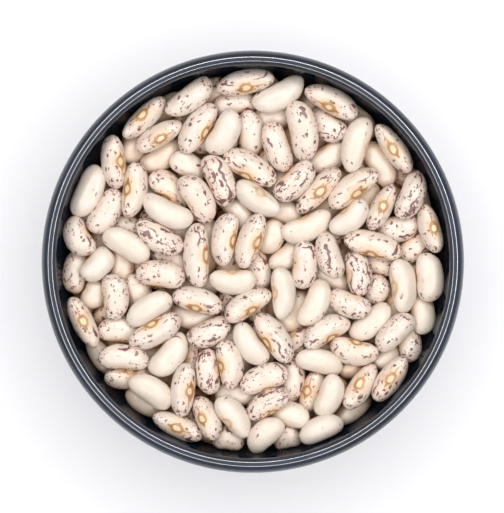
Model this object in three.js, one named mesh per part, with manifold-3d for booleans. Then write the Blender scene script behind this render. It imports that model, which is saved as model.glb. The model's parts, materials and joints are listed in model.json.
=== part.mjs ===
// A small round glazed stoneware bowl, filled nearly to the brim with dried speckled beans.
// Units are millimetres, +Z is up, and the origin is the middle of the foot ring's underside.
import * as THREE from 'three';
import { mergeVertices } from 'three/addons/utils/BufferGeometryUtils.js';
import Module from 'manifold-3d';

const wasm = await Module();
wasm.setup();

// ---- Bowl: driving dimensions ----
const bowlRadius = 62.5; // outside, at the fullest part of the rolled lip
const bowlHeight = 55;
const wallThickness = 3.6;
const lipCrestRadius = 59.8; // where the lip is highest
const lipInnerRoll = 1.8; // radius of the lip's inner half
const lipOuterDrop = 3.8; // height of the lip's outer half
const lipUnderDrop = 4.2; // height over which the lip returns to the wall
const lipUnderBulge = 0.4; // how far that underside swells beyond a straight slope
const wallTaper = 0.03; // how far the wall leans in for each millimetre down
const wallRoundness = 2.8; // exponent of the curve from wall to floor: 2 is an ellipse
const innerFloorHeight = 6;
const footRadius = 26;
const footRingWidth = 4;
const footRecess = 2.6; // how far the underside is hollowed within the foot ring
const footBevel = 1;
const gap = 0.3; // clearance between the bowl and what fills it

// ---- Beans: driving dimensions ----
const beanLength = [14, 18.5]; // shortest and longest of those placed by rule
const beanWidthBase = 6.2; // width = base + share of the length
const beanWidthShare = 0.12;
const beanThickness = 6.8;
const beanUnevenness = 0.5; // how far width and thickness stray from their rule
const beanBow = 0.9; // how far the ends curve towards the side with the eye
const bowBalance = 0.35; // share of the bow by which the middle goes the other way
const bluntness = 2.8; // exponent of the outline along a bean: 2 is an ellipse
const lobeReach = 0.47; // half length of a bean's end lobes, as a share of its width
const endLobeSize = 0.88; // width of the end lobes, as a share of the middle one's
const lobeBow = 0.4; // share of the bow by which the lobes are set off the axis

// ---- Heap: driving dimensions ----
const heapLevel = 45.4; // height of the top beans' middles in the middle of the heap
const heapDome = 0.2; // how much lower they lie at the wall
const levelSpread = 0.8; // how far a top bean lies above or below that level
const heapRadius = 57; // widest reach of the heap
const tuckedDepth = 2.2; // how much lower the tucked beans lie
// A gap takes another bean while its room, which counts overlap as negative, is at least this, at this depth.
const topGap = { room: -1.7, depth: 0.8 };
const lowerGap = { room: -4.3, depth: 3.6 };
const gapGrid = 2; // step of the grid on which gaps are looked for
const gapTurns = 12; // headings that are tried at each place
const probeHalf = 4.2; // a bean that looks for a gap is three discs in plan, this far apart
const probeRadius = 3.9;
const laidShare = 0.45; // disc radius of a bean that is already there, as a share of its width
const bedCount = 70; // beans in the layer under those
const bedDepth = 9.5;
const bedMargin = 7; // between the wall and the middles of the outermost of them
const eyeUpShare = 0.15; // share of the beans that lie with the eye up
const eyeUp = [50, 130];
const eyeAside = [-30, 30];
const coreDrop = 2; // depth of the solid core's top under the middles of the top beans
const coreClearance = 0.8; // between the core and the bowl
const leastProud = 2.8; // a bean that stands less than this above the core is left out

// ---- Settling ----
const settleSteps = 420;
const pressPerStep = 0.14; // how far a lower bean presses up in each step, until it reaches its level
const topRise = 0.9; // the most that a bean's middle lies above the level of the top beans
const underTop = 2.0; // how far below that level the lower ones stop rising
// The most a bean tilts, as the sine of its pitch.
const steepest = { landmark: 0.2, tucked: 0.35, top: 0.3, lower: 0.45 };
// Pull towards a bean's first place, for each step.
const hold = { landmark: 0.5, tucked: 0.3, top: 0.06, lower: 0 };
const mass = { landmark: 6, tucked: 3, top: 2, lower: 1 }; // the heavier of two beans gives way less
const pushGain = 1.25; // above 1, overlaps close in fewer steps
const pairRenewal = 8; // steps for which a list of neighbours holds
const pairMargin = 1.5; // how far apart two beans in that list may be
const contactReach = 11; // lobes further apart than this don't touch
const seed = 20617;

// ---- Fineness ----
const bowlSegments = 48; // a multiple of four, so that the bowl is as wide along X as along Y
const wallSteps = 10;
const coreWallSteps = 6;
const lipOuterSteps = 5;
const lipInnerSteps = 3;
const turnCrowding = 1.4; // above 1, the wall's points crowd where it turns into the floor
const landmarkFacets = { rings: 4, sides: 8 }; // cross-sections between a bean's tips, and the sides round it
const otherFacets = { rings: 3, sides: 6 }; // the same for the beans that show less
const tipInset = 0.35; // how much closer to the tip the first cross-section lies, as a share of a step
const facetSwell = 1.04; // faceted beans are this much wider, so that they lose no bulk

// The beans that stand out on top of the heap, and those tucked in under them. Each row holds x, y, heading
// (degrees anticlockwise from +X), length, and the side of the eye (degrees: 0 is left of the heading, 90
// straight up, 180 right).
const landmarks = [
  [-31.4, 43.3, 41, 17, 75],
  [-40.8, 29.4, 105, 16.2, 130],
  [-48.6, 20.6, 67, 16.6, -20],
  [-35.3, 20.4, 79, 16.9, 50],
  [-16.3, 40.3, 63, 17.3, 143],
  [-1.6, 53.8, 2, 17.6, 122],
  [8.8, 50.3, 32, 17, -20],
  [23.4, 47.8, 153, 17.6, 53],
  [13.9, 39.4, 107, 18.6, -20],
  [-0.8, 29, 139, 17.7, 33],
  [-9.9, 24.4, 120, 16.2, -20],
  [1, 20.1, 158, 15.8, 127],
  [20.1, 20.4, 47, 18, 102],
  [29.5, 22.5, 43, 17.7, 130],
  [41.5, 33.4, 130, 17.3, 80],
  [46.8, 19.7, 74, 15.7, -30],
  [38.7, 15.8, 57, 15.3, 90],
  [52.3, 9.8, 105, 15.1, 106],
  [36.1, 4.9, 170, 17.7, 37],
  [24.3, 2.3, 140, 14.7, 215],
  [16.8, 11.1, 24, 16.1, 19],
  [44.7, -7.2, 104, 16.4, 38],
  [34.9, -17.5, 34, 15, -20],
  [32.5, -37.1, 50, 16, 73],
  [41.1, -35.7, 51, 15.9, 88],
  [30.9, -26.8, 165, 14.7, 148],
  [19.6, -29.8, 173, 14.7, -20],
  [22.3, -20.6, 31, 15.6, 148],
  [20.9, -50, 33, 13.9, 200],
  [5, -41.9, 28, 14.2, 153],
  [2.9, -51.8, 43, 13.2, 200],
  [-22.4, -49.1, 152, 16.2, 82],
  [-13.8, -45.6, 126, 14.1, 66],
  [-24.9, -28.7, 59, 15.4, -20],
  [-7, -30.6, 94, 14.9, 36],
  [5.9, -22.9, 128, 17.1, 36],
  [-1, -13.5, 36, 15.7, 137],
  [-13, -20.6, 26, 13.7, -25],
  [-16.6, -11.9, 163, 15.4, 46],
  [-28.7, -22.2, 41, 17.3, 41],
  [-30.8, -14.3, 32, 15.3, 200],
  [-50.1, -18.2, 116, 16.8, 96],
  [-37.6, 4.5, 151, 15.5, -20],
  [-28.4, 7, 148, 16, 210],
  [-25.7, 15.7, 153, 16.4, 192],
  [-17, 2.1, 96, 19.3, 142],
  [-8.4, 6.7, 81, 16.1, 141],
  [0, 7, 71, 17.3, 127],
  [9.3, -9.6, 83, 15.7, 39],
  [19, -12.4, 67, 15.2, -20],
  [-27.8, 37.6, 34, 16, 110],
  [-17.4, 48.7, 58, 16.8, -20],
  [7.4, 34.6, 110, 15.9, 200],
  [-14.4, 19.5, 113, 16, -20],
  [28.7, 11.7, 40, 13.8, 20],
  [53, -4.5, 90, 14.8, 0],
  [40.6, -20.5, 46, 14.4, 200],
  [26, -40, 62, 13.3, 0],
  [-5.8, -46, 136, 14.7, 43],
  [-29.8, -39.5, 147, 14.8, -20],
  [3, -33.7, 17, 15.2, 164],
  [-41.9, -9.8, 94, 14, 0],
  [-51.2, 7.1, 121, 12.8, 180],
  [-43.8, 15, 62, 15, 0],
  [-6, -6, 178, 14, 153],
  [-27.9, -4, 171, 14.8, 0],
  [15.5, -1.7, 92, 14.6, 0],
  [28.9, -11.9, 153, 13.4, 180],
  [-9.1, 38.6, 70, 14.9, 0],
  [30.7, 34.8, 70, 17.3, 165],
  [-46.9, -1.2, 72, 12, 0],
  [-38, -28.2, 3, 15.3, 180],
  [-20.6, -37.7, 83, 16.3, 128],
  [-1.9, -25, 124, 14.5, 180],
  [30.2, -2.8, 108, 14, 0],
  [12.7, 23.5, 50, 15.2, 0],
  [-13.9, -32.9, 93, 13.9, 180],
];
const tucked = [
  [-4, 47.1, 8, 14.5, 180],
  [-0.6, 38.2, 98, 15, 0],
  [-24.9, 22.1, 133, 15.6, 33],
  [-26.6, 30.7, 38, 14.3, 0],
  [22.4, 40, 117, 12.8, 180],
  [22.5, 31, 25, 13.8, 20],
  [37, 29.2, 121, 15.6, 0],
  [43.6, 9.9, 13, 13, 0],
  [-52.6, -3, 98, 14, 200],
  [-38.9, -20.7, 172, 14.6, 0],
  [-36.2, -34.9, 13, 14.8, 60],
  [-6.9, -53.7, 40, 9.8, 180],
  [47, -24.5, 114, 12.6, 0],
  [50.3, -16.7, 106, 14.6, 0],
  [12.4, -24.9, 76, 13.6, 0],
  [12.6, -35.2, 78, 13.6, 0],
  [12, -46, 168, 12.6, 0],
  [31.6, -44.6, 34, 14, 270],
  [10.6, -53.5, 0, 9, 200],
  [-33, -41.2, 151, 13.4, 270],
  [16.6, -39.7, 77, 13.6, 60],
  [-19.2, 28.7, 130, 12.6, 0],
  [-4.3, 15.2, 130, 12.6, 0],
  [-39, 11, 135, 12.6, 0],
  [-34.6, -9.1, 125, 13.4, 0],
  [-37.9, -2, 100, 12.6, 0],
  [-18.1, -16, 5, 13.6, 0],
  [-5.1, -39.7, 10, 13.6, 0],
  [37.1, -8.5, 100, 9.6, 0],
  [36.6, -2, 170, 13, 0],
  [24, -4.5, 148, 13, 0],
  [41, -26.1, 60, 10, 0],
  [47.5, 5, 60, 11.6, 0],
  [8.2, 14.1, 168, 13, 0],
  [6.8, 8, 60, 11, 0],
  [9.4, 1.9, 35, 12.6, 0],
  [3.2, -0.9, 115, 13.6, 0],
  [12.4, -16.6, 75, 14, 0],
  [-45.9, -30, 125, 14, 270],
  [6, 43.4, 20, 13.6, 0],
  [-47.7, -9, 100, 9.6, 0],
];

// ---- Helpers ----
const degree = Math.PI / 180;
const goldenTurn = Math.PI * (3 - Math.sqrt(5));

// A plain multiplicative generator, so that the same seed always gives the same heap.
function seededDraws(start) {
  let state = start;
  return (low, high) => {
    state = (state * 48271) % 2147483647;
    return low + ((high - low) * state) / 2147483647;
  };
}

function arc(centreR, centreZ, radiusR, radiusZ, fromDegrees, toDegrees, steps) {
  return Array.from({ length: steps + 1 }, (_, i) => {
    const angle = (fromDegrees + ((toDegrees - fromDegrees) * i) / steps) * degree;
    return new THREE.Vector2(centreR + radiusR * Math.cos(angle), centreZ + radiusZ * Math.sin(angle));
  });
}

function toManifold(geometry) {
  const vertProperties = Float32Array.from(geometry.attributes.position.array);
  const triVerts = Uint32Array.from(geometry.index.array);
  return new wasm.Manifold(new wasm.Mesh({ numProp: 3, vertProperties, triVerts }));
}

function toGeometry(manifold) {
  const mesh = manifold.getMesh();
  const geometry = new THREE.BufferGeometry();
  geometry.setAttribute('position', new THREE.BufferAttribute(mesh.vertProperties.slice(), 3));
  geometry.setIndex(new THREE.BufferAttribute(mesh.triVerts.slice(), 1));
  return geometry;
}

// ---- Bowl ----
const wallTop = bowlHeight - lipInnerRoll; // the wall starts where the lip's inner roll ends
const innerRadius = lipCrestRadius - lipInnerRoll;
const innerDepth = wallTop - innerFloorHeight;

// Radius of the bowl's wall at a height, for the inner face grown outwards by `offset`.
function wallRadius(z, offset) {
  const down = Math.max(0, wallTop - z);
  const share = Math.min(1, down / (innerDepth + offset));
  return (innerRadius + offset - wallTaper * down) * (1 - share ** wallRoundness) ** (1 / wallRoundness);
}

// Points down the wall as far as a lowest radius, closer together where it turns into the floor.
function wallPoints(offset, topZ, steps, lowestRadius = 1) {
  const bottomZ = wallTop - innerDepth - offset;
  const points = [];
  for (let i = 0; i <= steps; i += 1) {
    const z = bottomZ + (topZ - bottomZ) * Math.cos((Math.PI / 2) * (i / steps)) ** turnCrowding;
    const r = wallRadius(z, offset);
    if (r > lowestRadius) points.push(new THREE.Vector2(r, z));
  }
  return points;
}

// A solid turned from a profile that starts and ends on the axis.
function latheSolid(profile) {
  const geometry = new THREE.LatheGeometry(profile, bowlSegments);
  geometry.rotateX(Math.PI / 2); // the lathe turns about Y, the bowl about Z
  geometry.deleteAttribute('normal');
  geometry.deleteAttribute('uv');
  return mergeVertices(geometry, 1e-4);
}

function bowlGeometry() {
  const underLip = bowlHeight - lipOuterDrop - lipUnderDrop;
  const outside = wallPoints(wallThickness, underLip, wallSteps, footRadius + footBevel / 2).reverse();
  const bulge = new THREE.Vector2(
    (bowlRadius + wallRadius(underLip, wallThickness)) / 2 + lipUnderBulge,
    underLip + lipUnderDrop / 2,
  );
  const lipOuterWidth = bowlRadius - lipCrestRadius;
  const profile = [
    new THREE.Vector2(0, footRecess),
    new THREE.Vector2(footRadius - footRingWidth - footBevel, footRecess),
    new THREE.Vector2(footRadius - footRingWidth, 0),
    new THREE.Vector2(footRadius, 0),
    new THREE.Vector2(footRadius, outside[0].y - footBevel),
    ...outside,
    bulge,
    ...arc(lipCrestRadius, bowlHeight - lipOuterDrop, lipOuterWidth, lipOuterDrop, 0, 90, lipOuterSteps),
    ...arc(lipCrestRadius, wallTop, lipInnerRoll, lipInnerRoll, 90, 180, lipInnerSteps).slice(1, -1),
    ...wallPoints(0, wallTop, wallSteps),
    new THREE.Vector2(0, innerFloorHeight),
  ];
  return latheSolid(profile);
}

// ---- Beans ----
// A bean knows its size, the side of its eye, the two ends of its axis, and how it takes part in settling.
function makeBean(layer, x, y, z, heading, length, eye, draw) {
  const width = beanWidthBase + beanWidthShare * length + draw(-beanUnevenness, beanUnevenness);
  const thickness = beanThickness + draw(-beanUnevenness, beanUnevenness);
  const reach = lobeReach * width;
  const half = length / 2 - reach;
  const along = new THREE.Vector3(Math.cos(heading * degree), Math.sin(heading * degree), 0);
  const centre = new THREE.Vector3(x, y, z);
  const tail = centre.clone().addScaledVector(along, -half);
  const head = centre.clone().addScaledVector(along, half);
  const home = { tail: tail.clone(), head: head.clone() };
  return { layer, length, width, thickness, reach, half, eye: eye * degree, tail, head, home };
}

// Axis, eye direction and flat direction of a bean, from its two ends and the side of its eye.
function beanFrame(bean) {
  const along = bean.head.clone().sub(bean.tail).normalize();
  const left = new THREE.Vector3(-along.y, along.x, 0).normalize();
  const up = along.clone().cross(left);
  const toEye = left.multiplyScalar(Math.cos(bean.eye)).addScaledVector(up, Math.sin(bean.eye));
  const flat = along.clone().cross(toEye);
  const middle = bean.tail.clone().add(bean.head).multiplyScalar(0.5);
  return { along, toEye, flat, middle };
}

// Three ellipsoid lobes stand for the bean wherever it touches something.
function beanLobes(bean) {
  const { along, toEye, flat, middle } = beanFrame(bean);
  return [-1, 0, 1].map((place) => {
    const size = place === 0 ? 1 : endLobeSize;
    const bow = place === 0 ? -lobeBow * beanBow : lobeBow * beanBow;
    const centre = middle.clone().addScaledVector(along, place * bean.half).addScaledVector(toEye, bow);
    const reachAlong = (n) => {
      const a = bean.reach * n.dot(along);
      const b = 0.5 * size * bean.width * n.dot(toEye);
      const c = 0.5 * size * bean.thickness * n.dot(flat);
      return Math.sqrt(a * a + b * b + c * c);
    };
    return { place, centre, reachAlong };
  });
}

// A faceted bean: cross-sections between two tips, full in the middle, its ends bowed towards the eye.
function beanGeometry(bean, { rings, sides }) {
  const { along, toEye, flat, middle } = beanFrame(bean);
  const at = (share, angle, fullness) => {
    const swell = (facetSwell / 2) * fullness;
    const bow = beanBow * (share * share - bowBalance);
    return middle.clone()
      .addScaledVector(along, (share * bean.length) / 2)
      .addScaledVector(toEye, bow + swell * bean.width * Math.cos(angle))
      .addScaledVector(flat, swell * bean.thickness * Math.sin(angle));
  };
  const points = [at(-1, 0, 0)];
  for (let ring = 1; ring <= rings; ring += 1) {
    const share = -Math.cos((Math.PI * (ring - tipInset)) / (rings + 1 - 2 * tipInset));
    const fullness = Math.sqrt(1 - Math.abs(share) ** bluntness);
    for (let side = 0; side < sides; side += 1) {
      points.push(at(share, (2 * Math.PI * side) / sides, fullness));
    }
  }
  points.push(at(1, 0, 0));
  const faces = [];
  const last = points.length - 1;
  for (let side = 0; side < sides; side += 1) {
    const next = (side + 1) % sides;
    faces.push(0, 1 + next, 1 + side);
    faces.push(last, last - sides + side, last - sides + next);
    for (let ring = 0; ring < rings - 1; ring += 1) {
      const a = 1 + ring * sides;
      const b = a + sides;
      faces.push(a + side, a + next, b + next, a + side, b + next, b + side);
    }
  }
  const geometry = new THREE.BufferGeometry();
  const positions = points.flatMap((point) => point.toArray());
  geometry.setAttribute('position', new THREE.Float32BufferAttribute(positions, 3));
  geometry.setIndex(faces);
  return geometry;
}

// ---- Laying out ----
// Height of the top beans' middles.
function levelAt(x, y) {
  return heapLevel - heapDome * ((x * x + y * y) / (heapRadius * heapRadius));
}

function eyeSide(draw) {
  if (draw(0, 1) < eyeUpShare) return draw(...eyeUp);
  return draw(...eyeAside) + (draw(0, 1) < 0.5 ? 0 : 180);
}

function handLaidBeans(layer, rows, depth, draw) {
  return rows.map(([x, y, heading, length, eye]) => {
    const z = levelAt(x, y) - depth + draw(-levelSpread, levelSpread);
    return makeBean(layer, x, y, z, heading, length, eye, draw);
  });
}

// Room in plan between a place and a laid bean, from three discs in each.
function roomBeside({ x, y, cos, sin }, laid) {
  let least = Infinity;
  for (const a of [-probeHalf, 0, probeHalf]) {
    for (const b of [0, 0.5, 1]) {
      const dx = x + a * cos - (laid.tail.x + (laid.head.x - laid.tail.x) * b);
      const dy = y + a * sin - (laid.tail.y + (laid.head.y - laid.tail.y) * b);
      least = Math.min(least, Math.hypot(dx, dy) - probeRadius - laidShare * laid.width);
    }
  }
  return least;
}

// Every place and heading at which a bean could lie in an empty bowl, with its room to the heap's edge.
function emptyPlaces(leastRoom) {
  const places = [];
  for (let x = -heapRadius; x <= heapRadius; x += gapGrid) {
    for (let y = -heapRadius; y <= heapRadius; y += gapGrid) {
      for (let turn = 0; turn < gapTurns; turn += 1) {
        const heading = (180 * turn) / gapTurns;
        const [cos, sin] = [Math.cos(heading * degree), Math.sin(heading * degree)];
        const headEnd = Math.hypot(x + probeHalf * cos, y + probeHalf * sin);
        const tailEnd = Math.hypot(x - probeHalf * cos, y - probeHalf * sin);
        const room = heapRadius - probeRadius - Math.max(headEnd, tailEnd);
        if (room > leastRoom) places.push({ x, y, cos, sin, heading, room });
      }
    }
  }
  return places;
}

// Beans between those already laid: the largest gap takes the next one, until no gap is large enough.
function gapBeans(layer, laid, { room: leastRoom, depth }, draw) {
  const places = emptyPlaces(leastRoom);
  const narrow = (bean) => {
    for (const place of places) place.room = Math.min(place.room, roomBeside(place, bean));
  };
  laid.forEach(narrow);
  const beans = [];
  for (;;) {
    const best = places.reduce((a, b) => (b.room > a.room + 1e-9 ? b : a));
    if (best.room < leastRoom) return beans;
    const eye = eyeSide(draw);
    const length = draw(...beanLength);
    const z = levelAt(best.x, best.y) - depth + draw(-levelSpread, levelSpread);
    const bean = makeBean(layer, best.x, best.y, z, best.heading, length, eye, draw);
    beans.push(bean);
    narrow(bean);
  }
}

// The lowest layer: an even spiral of beans with headings drawn at random.
function bedBeans(draw) {
  const z = heapLevel - bedDepth;
  const reach = wallRadius(z, 0) - bedMargin;
  return Array.from({ length: bedCount }, (_, i) => {
    const r = reach * Math.sqrt((i + 0.5) / bedCount);
    const [x, y] = [r * Math.cos(i * goldenTurn), r * Math.sin(i * goldenTurn)];
    const eye = eyeSide(draw);
    const heading = draw(0, 180);
    return makeBean('lower', x, y, z, heading, draw(...beanLength), eye, draw);
  });
}

function layOut(draw) {
  const beans = handLaidBeans('landmark', landmarks, 0, draw);
  beans.push(...handLaidBeans('tucked', tucked, tuckedDepth, draw));
  beans.push(...gapBeans('top', beans, topGap, draw));
  beans.push(...gapBeans('lower', beans, lowerGap, draw));
  return [...beans, ...bedBeans(draw)];
}

// ---- Settling ----
// The lower beans press up under the top ones. Beans that overlap push each other apart, the wall pushes them
// in, and the ones on top are drawn back to their places, less and less towards the end.
function settle(beans) {
  let pairs = [];
  for (let step = 0; step < settleSteps; step += 1) {
    const calm = 1 - step / settleSteps;
    beans.filter((bean) => bean.layer === 'lower').forEach((bean) => pressUp(bean, pressPerStep * calm));
    if (step % pairRenewal === 0) pairs = nearPairs(beans);
    const lobes = beans.map(beanLobes);
    const pushes = beans.map(() => ({ tail: newPush(), head: newPush() }));
    pushApart(beans, pairs, lobes, pushes);
    pushOffWall(lobes, pushes);
    beans.forEach((bean, index) => moveBean(bean, pushes[index], calm));
  }
  return beans;
}

function pressUp(bean, most) {
  for (const end of [bean.tail, bean.head]) {
    end.z += Math.min(most, levelAt(end.x, end.y) - underTop - end.z);
  }
}

function nearPairs(beans) {
  const middles = beans.map((bean) => beanFrame(bean).middle);
  const pairs = [];
  for (let i = 0; i < beans.length; i += 1) {
    for (let j = i + 1; j < beans.length; j += 1) {
      const reach = (beans[i].length + beans[j].length) / 2 + pairMargin;
      if (middles[i].distanceTo(middles[j]) < reach) pairs.push([i, j]);
    }
  }
  return pairs;
}

function newPush() {
  return { sum: new THREE.Vector3(), count: 0 };
}

// A lobe passes its push on to the end that it lies at, or to both from the middle.
function addPush(push, place, direction, amount) {
  const ends = { '-1': ['tail'], 0: ['tail', 'head'], 1: ['head'] }[place];
  for (const end of ends) {
    push[end].sum.addScaledVector(direction, amount);
    push[end].count += 1;
  }
}

function pushApart(beans, pairs, lobes, pushes) {
  for (const [i, j] of pairs) {
    const massOf = (index) => mass[beans[index].layer];
    const share = massOf(j) / (massOf(i) + massOf(j));
    for (const a of lobes[i]) {
      for (const b of lobes[j]) {
        const towards = b.centre.clone().sub(a.centre);
        const distance = towards.length();
        if (distance > contactReach) continue;
        towards.divideScalar(distance);
        const overlap = a.reachAlong(towards) + b.reachAlong(towards) - distance;
        if (overlap > 0) {
          addPush(pushes[i], a.place, towards, -overlap * share);
          addPush(pushes[j], b.place, towards, overlap * (1 - share));
        }
      }
    }
  }
}

function pushOffWall(lobes, pushes) {
  lobes.forEach((three, index) => {
    for (const { place, centre, reachAlong } of three) {
      const r = Math.hypot(centre.x, centre.y);
      const outward = new THREE.Vector3(centre.x / r, centre.y / r, 0);
      const beyond = r + reachAlong(outward) - (wallRadius(centre.z, 0) - gap);
      if (beyond > 0) addPush(pushes[index], place, outward, -beyond);
    }
  });
}

// Moves the ends by their mean push and towards their first places, then restores length, level and tilt.
function moveBean(bean, push, calm) {
  for (const end of ['tail', 'head']) {
    bean[end].addScaledVector(push[end].sum, pushGain / Math.max(1, push[end].count));
    bean[end].lerp(bean.home[end], hold[bean.layer] * calm);
  }
  const { along, middle } = beanFrame(bean);
  middle.z = Math.min(middle.z, levelAt(middle.x, middle.y) + topRise);
  const most = steepest[bean.layer];
  const rise = Math.max(-most, Math.min(most, along.z));
  const level = Math.sqrt((1 - rise * rise) / (along.x * along.x + along.y * along.y));
  along.set(along.x * level, along.y * level, rise);
  bean.tail.copy(middle).addScaledVector(along, -bean.half);
  bean.head.copy(middle).addScaledVector(along, bean.half);
}

// ---- Heap ----
// A core that fills the bowl up to just below the top beans' middles.
function coreGeometry() {
  const top = heapLevel - coreDrop;
  return latheSolid([
    new THREE.Vector2(0, innerFloorHeight + coreClearance),
    ...wallPoints(-coreClearance, top - heapDome, coreWallSteps).reverse(),
    new THREE.Vector2(heapRadius / 2, top - heapDome / 4),
    new THREE.Vector2(0, top),
  ]);
}

// The room that the bowl leaves for what fills it.
function roomGeometry() {
  return latheSolid([
    new THREE.Vector2(0, innerFloorHeight + gap),
    ...wallPoints(-gap, bowlHeight, wallSteps).reverse(),
    new THREE.Vector2(0, bowlHeight),
  ]);
}

function heapGeometry() {
  let heap = toManifold(coreGeometry());
  for (const bean of settle(layOut(seededDraws(seed)))) {
    const { middle } = beanFrame(bean);
    const proud = middle.z + bean.thickness / 2 - (levelAt(middle.x, middle.y) - coreDrop);
    const facets = bean.layer === 'landmark' ? landmarkFacets : otherFacets;
    if (proud > leastProud) heap = heap.add(toManifold(beanGeometry(bean, facets)));
  }
  heap = heap.intersect(toManifold(roomGeometry()));
  // The largest body is the heap's outer skin: hollows sealed between beans fill up, and loose scraps go.
  return toGeometry(heap.decompose().reduce((a, b) => (b.volume() > a.volume() ? b : a)));
}

// ---- Finished part ----
function namedMesh(name, geometry, color, roughness) {
  geometry.computeVertexNormals();
  const material = new THREE.MeshStandardMaterial({ color, roughness, metalness: 0, flatShading: true });
  const mesh = new THREE.Mesh(geometry, material);
  mesh.name = name;
  return mesh;
}

const filledBowl = new THREE.Group();
filledBowl.add(namedMesh('bowl', bowlGeometry(), 0x14161a, 0.12));
filledBowl.add(namedMesh('beans', heapGeometry(), 0xefe2d0, 0.5));

export default filledBowl;
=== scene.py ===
import json
import math

import bpy
import numpy as np
from bpy.props import FloatProperty, FloatVectorProperty, IntProperty, PointerProperty
from mathutils import Matrix, Vector

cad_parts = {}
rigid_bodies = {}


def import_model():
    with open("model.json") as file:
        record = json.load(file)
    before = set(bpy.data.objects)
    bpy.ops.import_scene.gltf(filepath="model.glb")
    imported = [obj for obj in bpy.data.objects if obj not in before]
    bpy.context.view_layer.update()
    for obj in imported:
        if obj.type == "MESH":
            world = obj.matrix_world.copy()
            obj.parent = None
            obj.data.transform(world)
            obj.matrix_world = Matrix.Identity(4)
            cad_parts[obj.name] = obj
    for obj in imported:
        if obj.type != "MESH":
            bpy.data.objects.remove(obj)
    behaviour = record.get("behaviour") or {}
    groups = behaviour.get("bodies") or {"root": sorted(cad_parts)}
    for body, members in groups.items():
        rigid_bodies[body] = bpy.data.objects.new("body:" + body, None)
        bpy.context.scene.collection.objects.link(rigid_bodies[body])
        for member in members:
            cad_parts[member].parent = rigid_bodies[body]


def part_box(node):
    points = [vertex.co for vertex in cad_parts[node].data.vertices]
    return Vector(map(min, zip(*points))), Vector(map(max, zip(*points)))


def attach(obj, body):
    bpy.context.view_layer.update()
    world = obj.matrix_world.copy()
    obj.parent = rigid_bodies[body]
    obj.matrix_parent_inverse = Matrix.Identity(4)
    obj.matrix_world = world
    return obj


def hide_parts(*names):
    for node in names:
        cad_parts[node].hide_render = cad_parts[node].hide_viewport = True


bl_info = {
    "name": "Bowl of dried beans",
    "version": (1, 0, 0),
    "blender": (4, 5, 0),
    "location": "View3D > Sidebar > Beans",
    "description": "Makes a glazed bowl that is filled with dried speckled beans",
    "category": "Object",
}

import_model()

MM = 0.001  # a millimetre, in metres
BOWL_LOW, BOWL_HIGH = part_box("bowl")

# ---- Beans: the sizes that the solids have ----
BEAN_LENGTH = (14 * MM, 18.5 * MM)  # shortest and longest of those placed by rule
BEAN_WIDTH_BASE = 6.2 * MM  # width = base + share of the length
BEAN_WIDTH_SHARE = 0.12
BEAN_THICKNESS = 6.8 * MM
BEAN_UNEVENNESS = 0.5 * MM  # how far width and thickness stray from their rule
BEAN_BOW = 0.9 * MM  # how far the ends curve towards the side with the eye
BOW_BALANCE = 0.35  # share of the bow by which the middle goes the other way
LOBE_REACH = 0.47  # half length of a bean's end lobes, as a share of its width
LOBE_PLACES = np.array([-1, 0, 1])
LOBE_SIZES = np.array([0.88, 1, 0.88])  # width of each lobe, as a share of the bean's
LOBE_BOWS = np.array([0.4, -0.4, 0.4]) * BEAN_BOW  # how far each lobe is set off the axis

# ---- Heap: the rule by which the solids lie ----
HEAP_LEVEL = 45.4 * MM  # height of the top beans' middles in the middle of the heap
HEAP_DOME = 0.2 * MM  # how much lower they lie at the wall
LEVEL_SPREAD = 0.8 * MM  # how far a top bean lies above or below that level
HEAP_RADIUS = 57 * MM  # widest reach of the heap
TUCKED_DEPTH = 2.2 * MM  # how much lower the tucked beans lie
TOP_GAP = (-1.7 * MM, 0.8 * MM)  # least room that takes another bean, and its depth
LOWER_GAP = (-4.3 * MM, 3.6 * MM)
GAP_GRID = 2 * MM  # step of the grid on which gaps are looked for
GAP_TURNS = 12  # headings that are tried at each place
PROBE_HALF = 4.2 * MM  # a bean that looks for a gap is three discs in plan, this far apart
PROBE_RADIUS = 3.9 * MM
LAID_SHARE = 0.45  # disc radius of a bean that is already there, as a share of its width
TIE = 1e-12  # rooms closer than this count as equal
BED_COUNT = 70  # beans in the layer under those
BED_DEPTH = 9.5 * MM
BED_MARGIN = 7 * MM  # between the wall and the middles of the outermost of them
EYE_UP_SHARE = 0.15  # share of the beans that lie with the eye up
EYE_UP = (50, 130)
EYE_ASIDE = (-30, 30)

# ---- Settling ----
SETTLE_STEPS = 420
PRESS_PER_STEP = 0.14 * MM  # how far a lower bean presses up in each step, until it reaches its level
TOP_RISE = 0.9 * MM  # the most that a bean's middle lies above the level of the top beans
UNDER_TOP = 2.0 * MM  # how far below that level the lower ones stop rising
# The most that a bean tilts, as the sine of its pitch, and its pull towards its first place in each step.
STEEPEST = {"landmark": 0.2, "tucked": 0.35, "top": 0.3, "lower": 0.45}
HOLD = {"landmark": 0.5, "tucked": 0.3, "top": 0.06, "lower": 0}
MASS = {"landmark": 6, "tucked": 3, "top": 2, "lower": 1}  # the heavier of two beans gives way less
PUSH_GAIN = 1.25  # above 1, overlaps close in fewer steps
PAIR_RENEWAL = 8  # steps for which a list of neighbours holds
PAIR_MARGIN = 1.5 * MM  # how far apart two beans in that list may be
CONTACT_REACH = 11 * MM  # lobes further apart than this don't touch
WALL_GAP = 0.3 * MM
HEAP_SEED = 20617
LOOK_SEED = 4021

# Looks of a bean, from bare to thickly marked. A bean placed by rule takes the first look whose chance is at
# least its draw.
LOOKS = ("plain", "flecked", "speckled", "striped")
LOOK_CHANCES = (0.42, 0.64, 0.88, 1)
TOP_DRAW_ROOM = 0.001  # keeps the highest draw below the number of shapes

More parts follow.
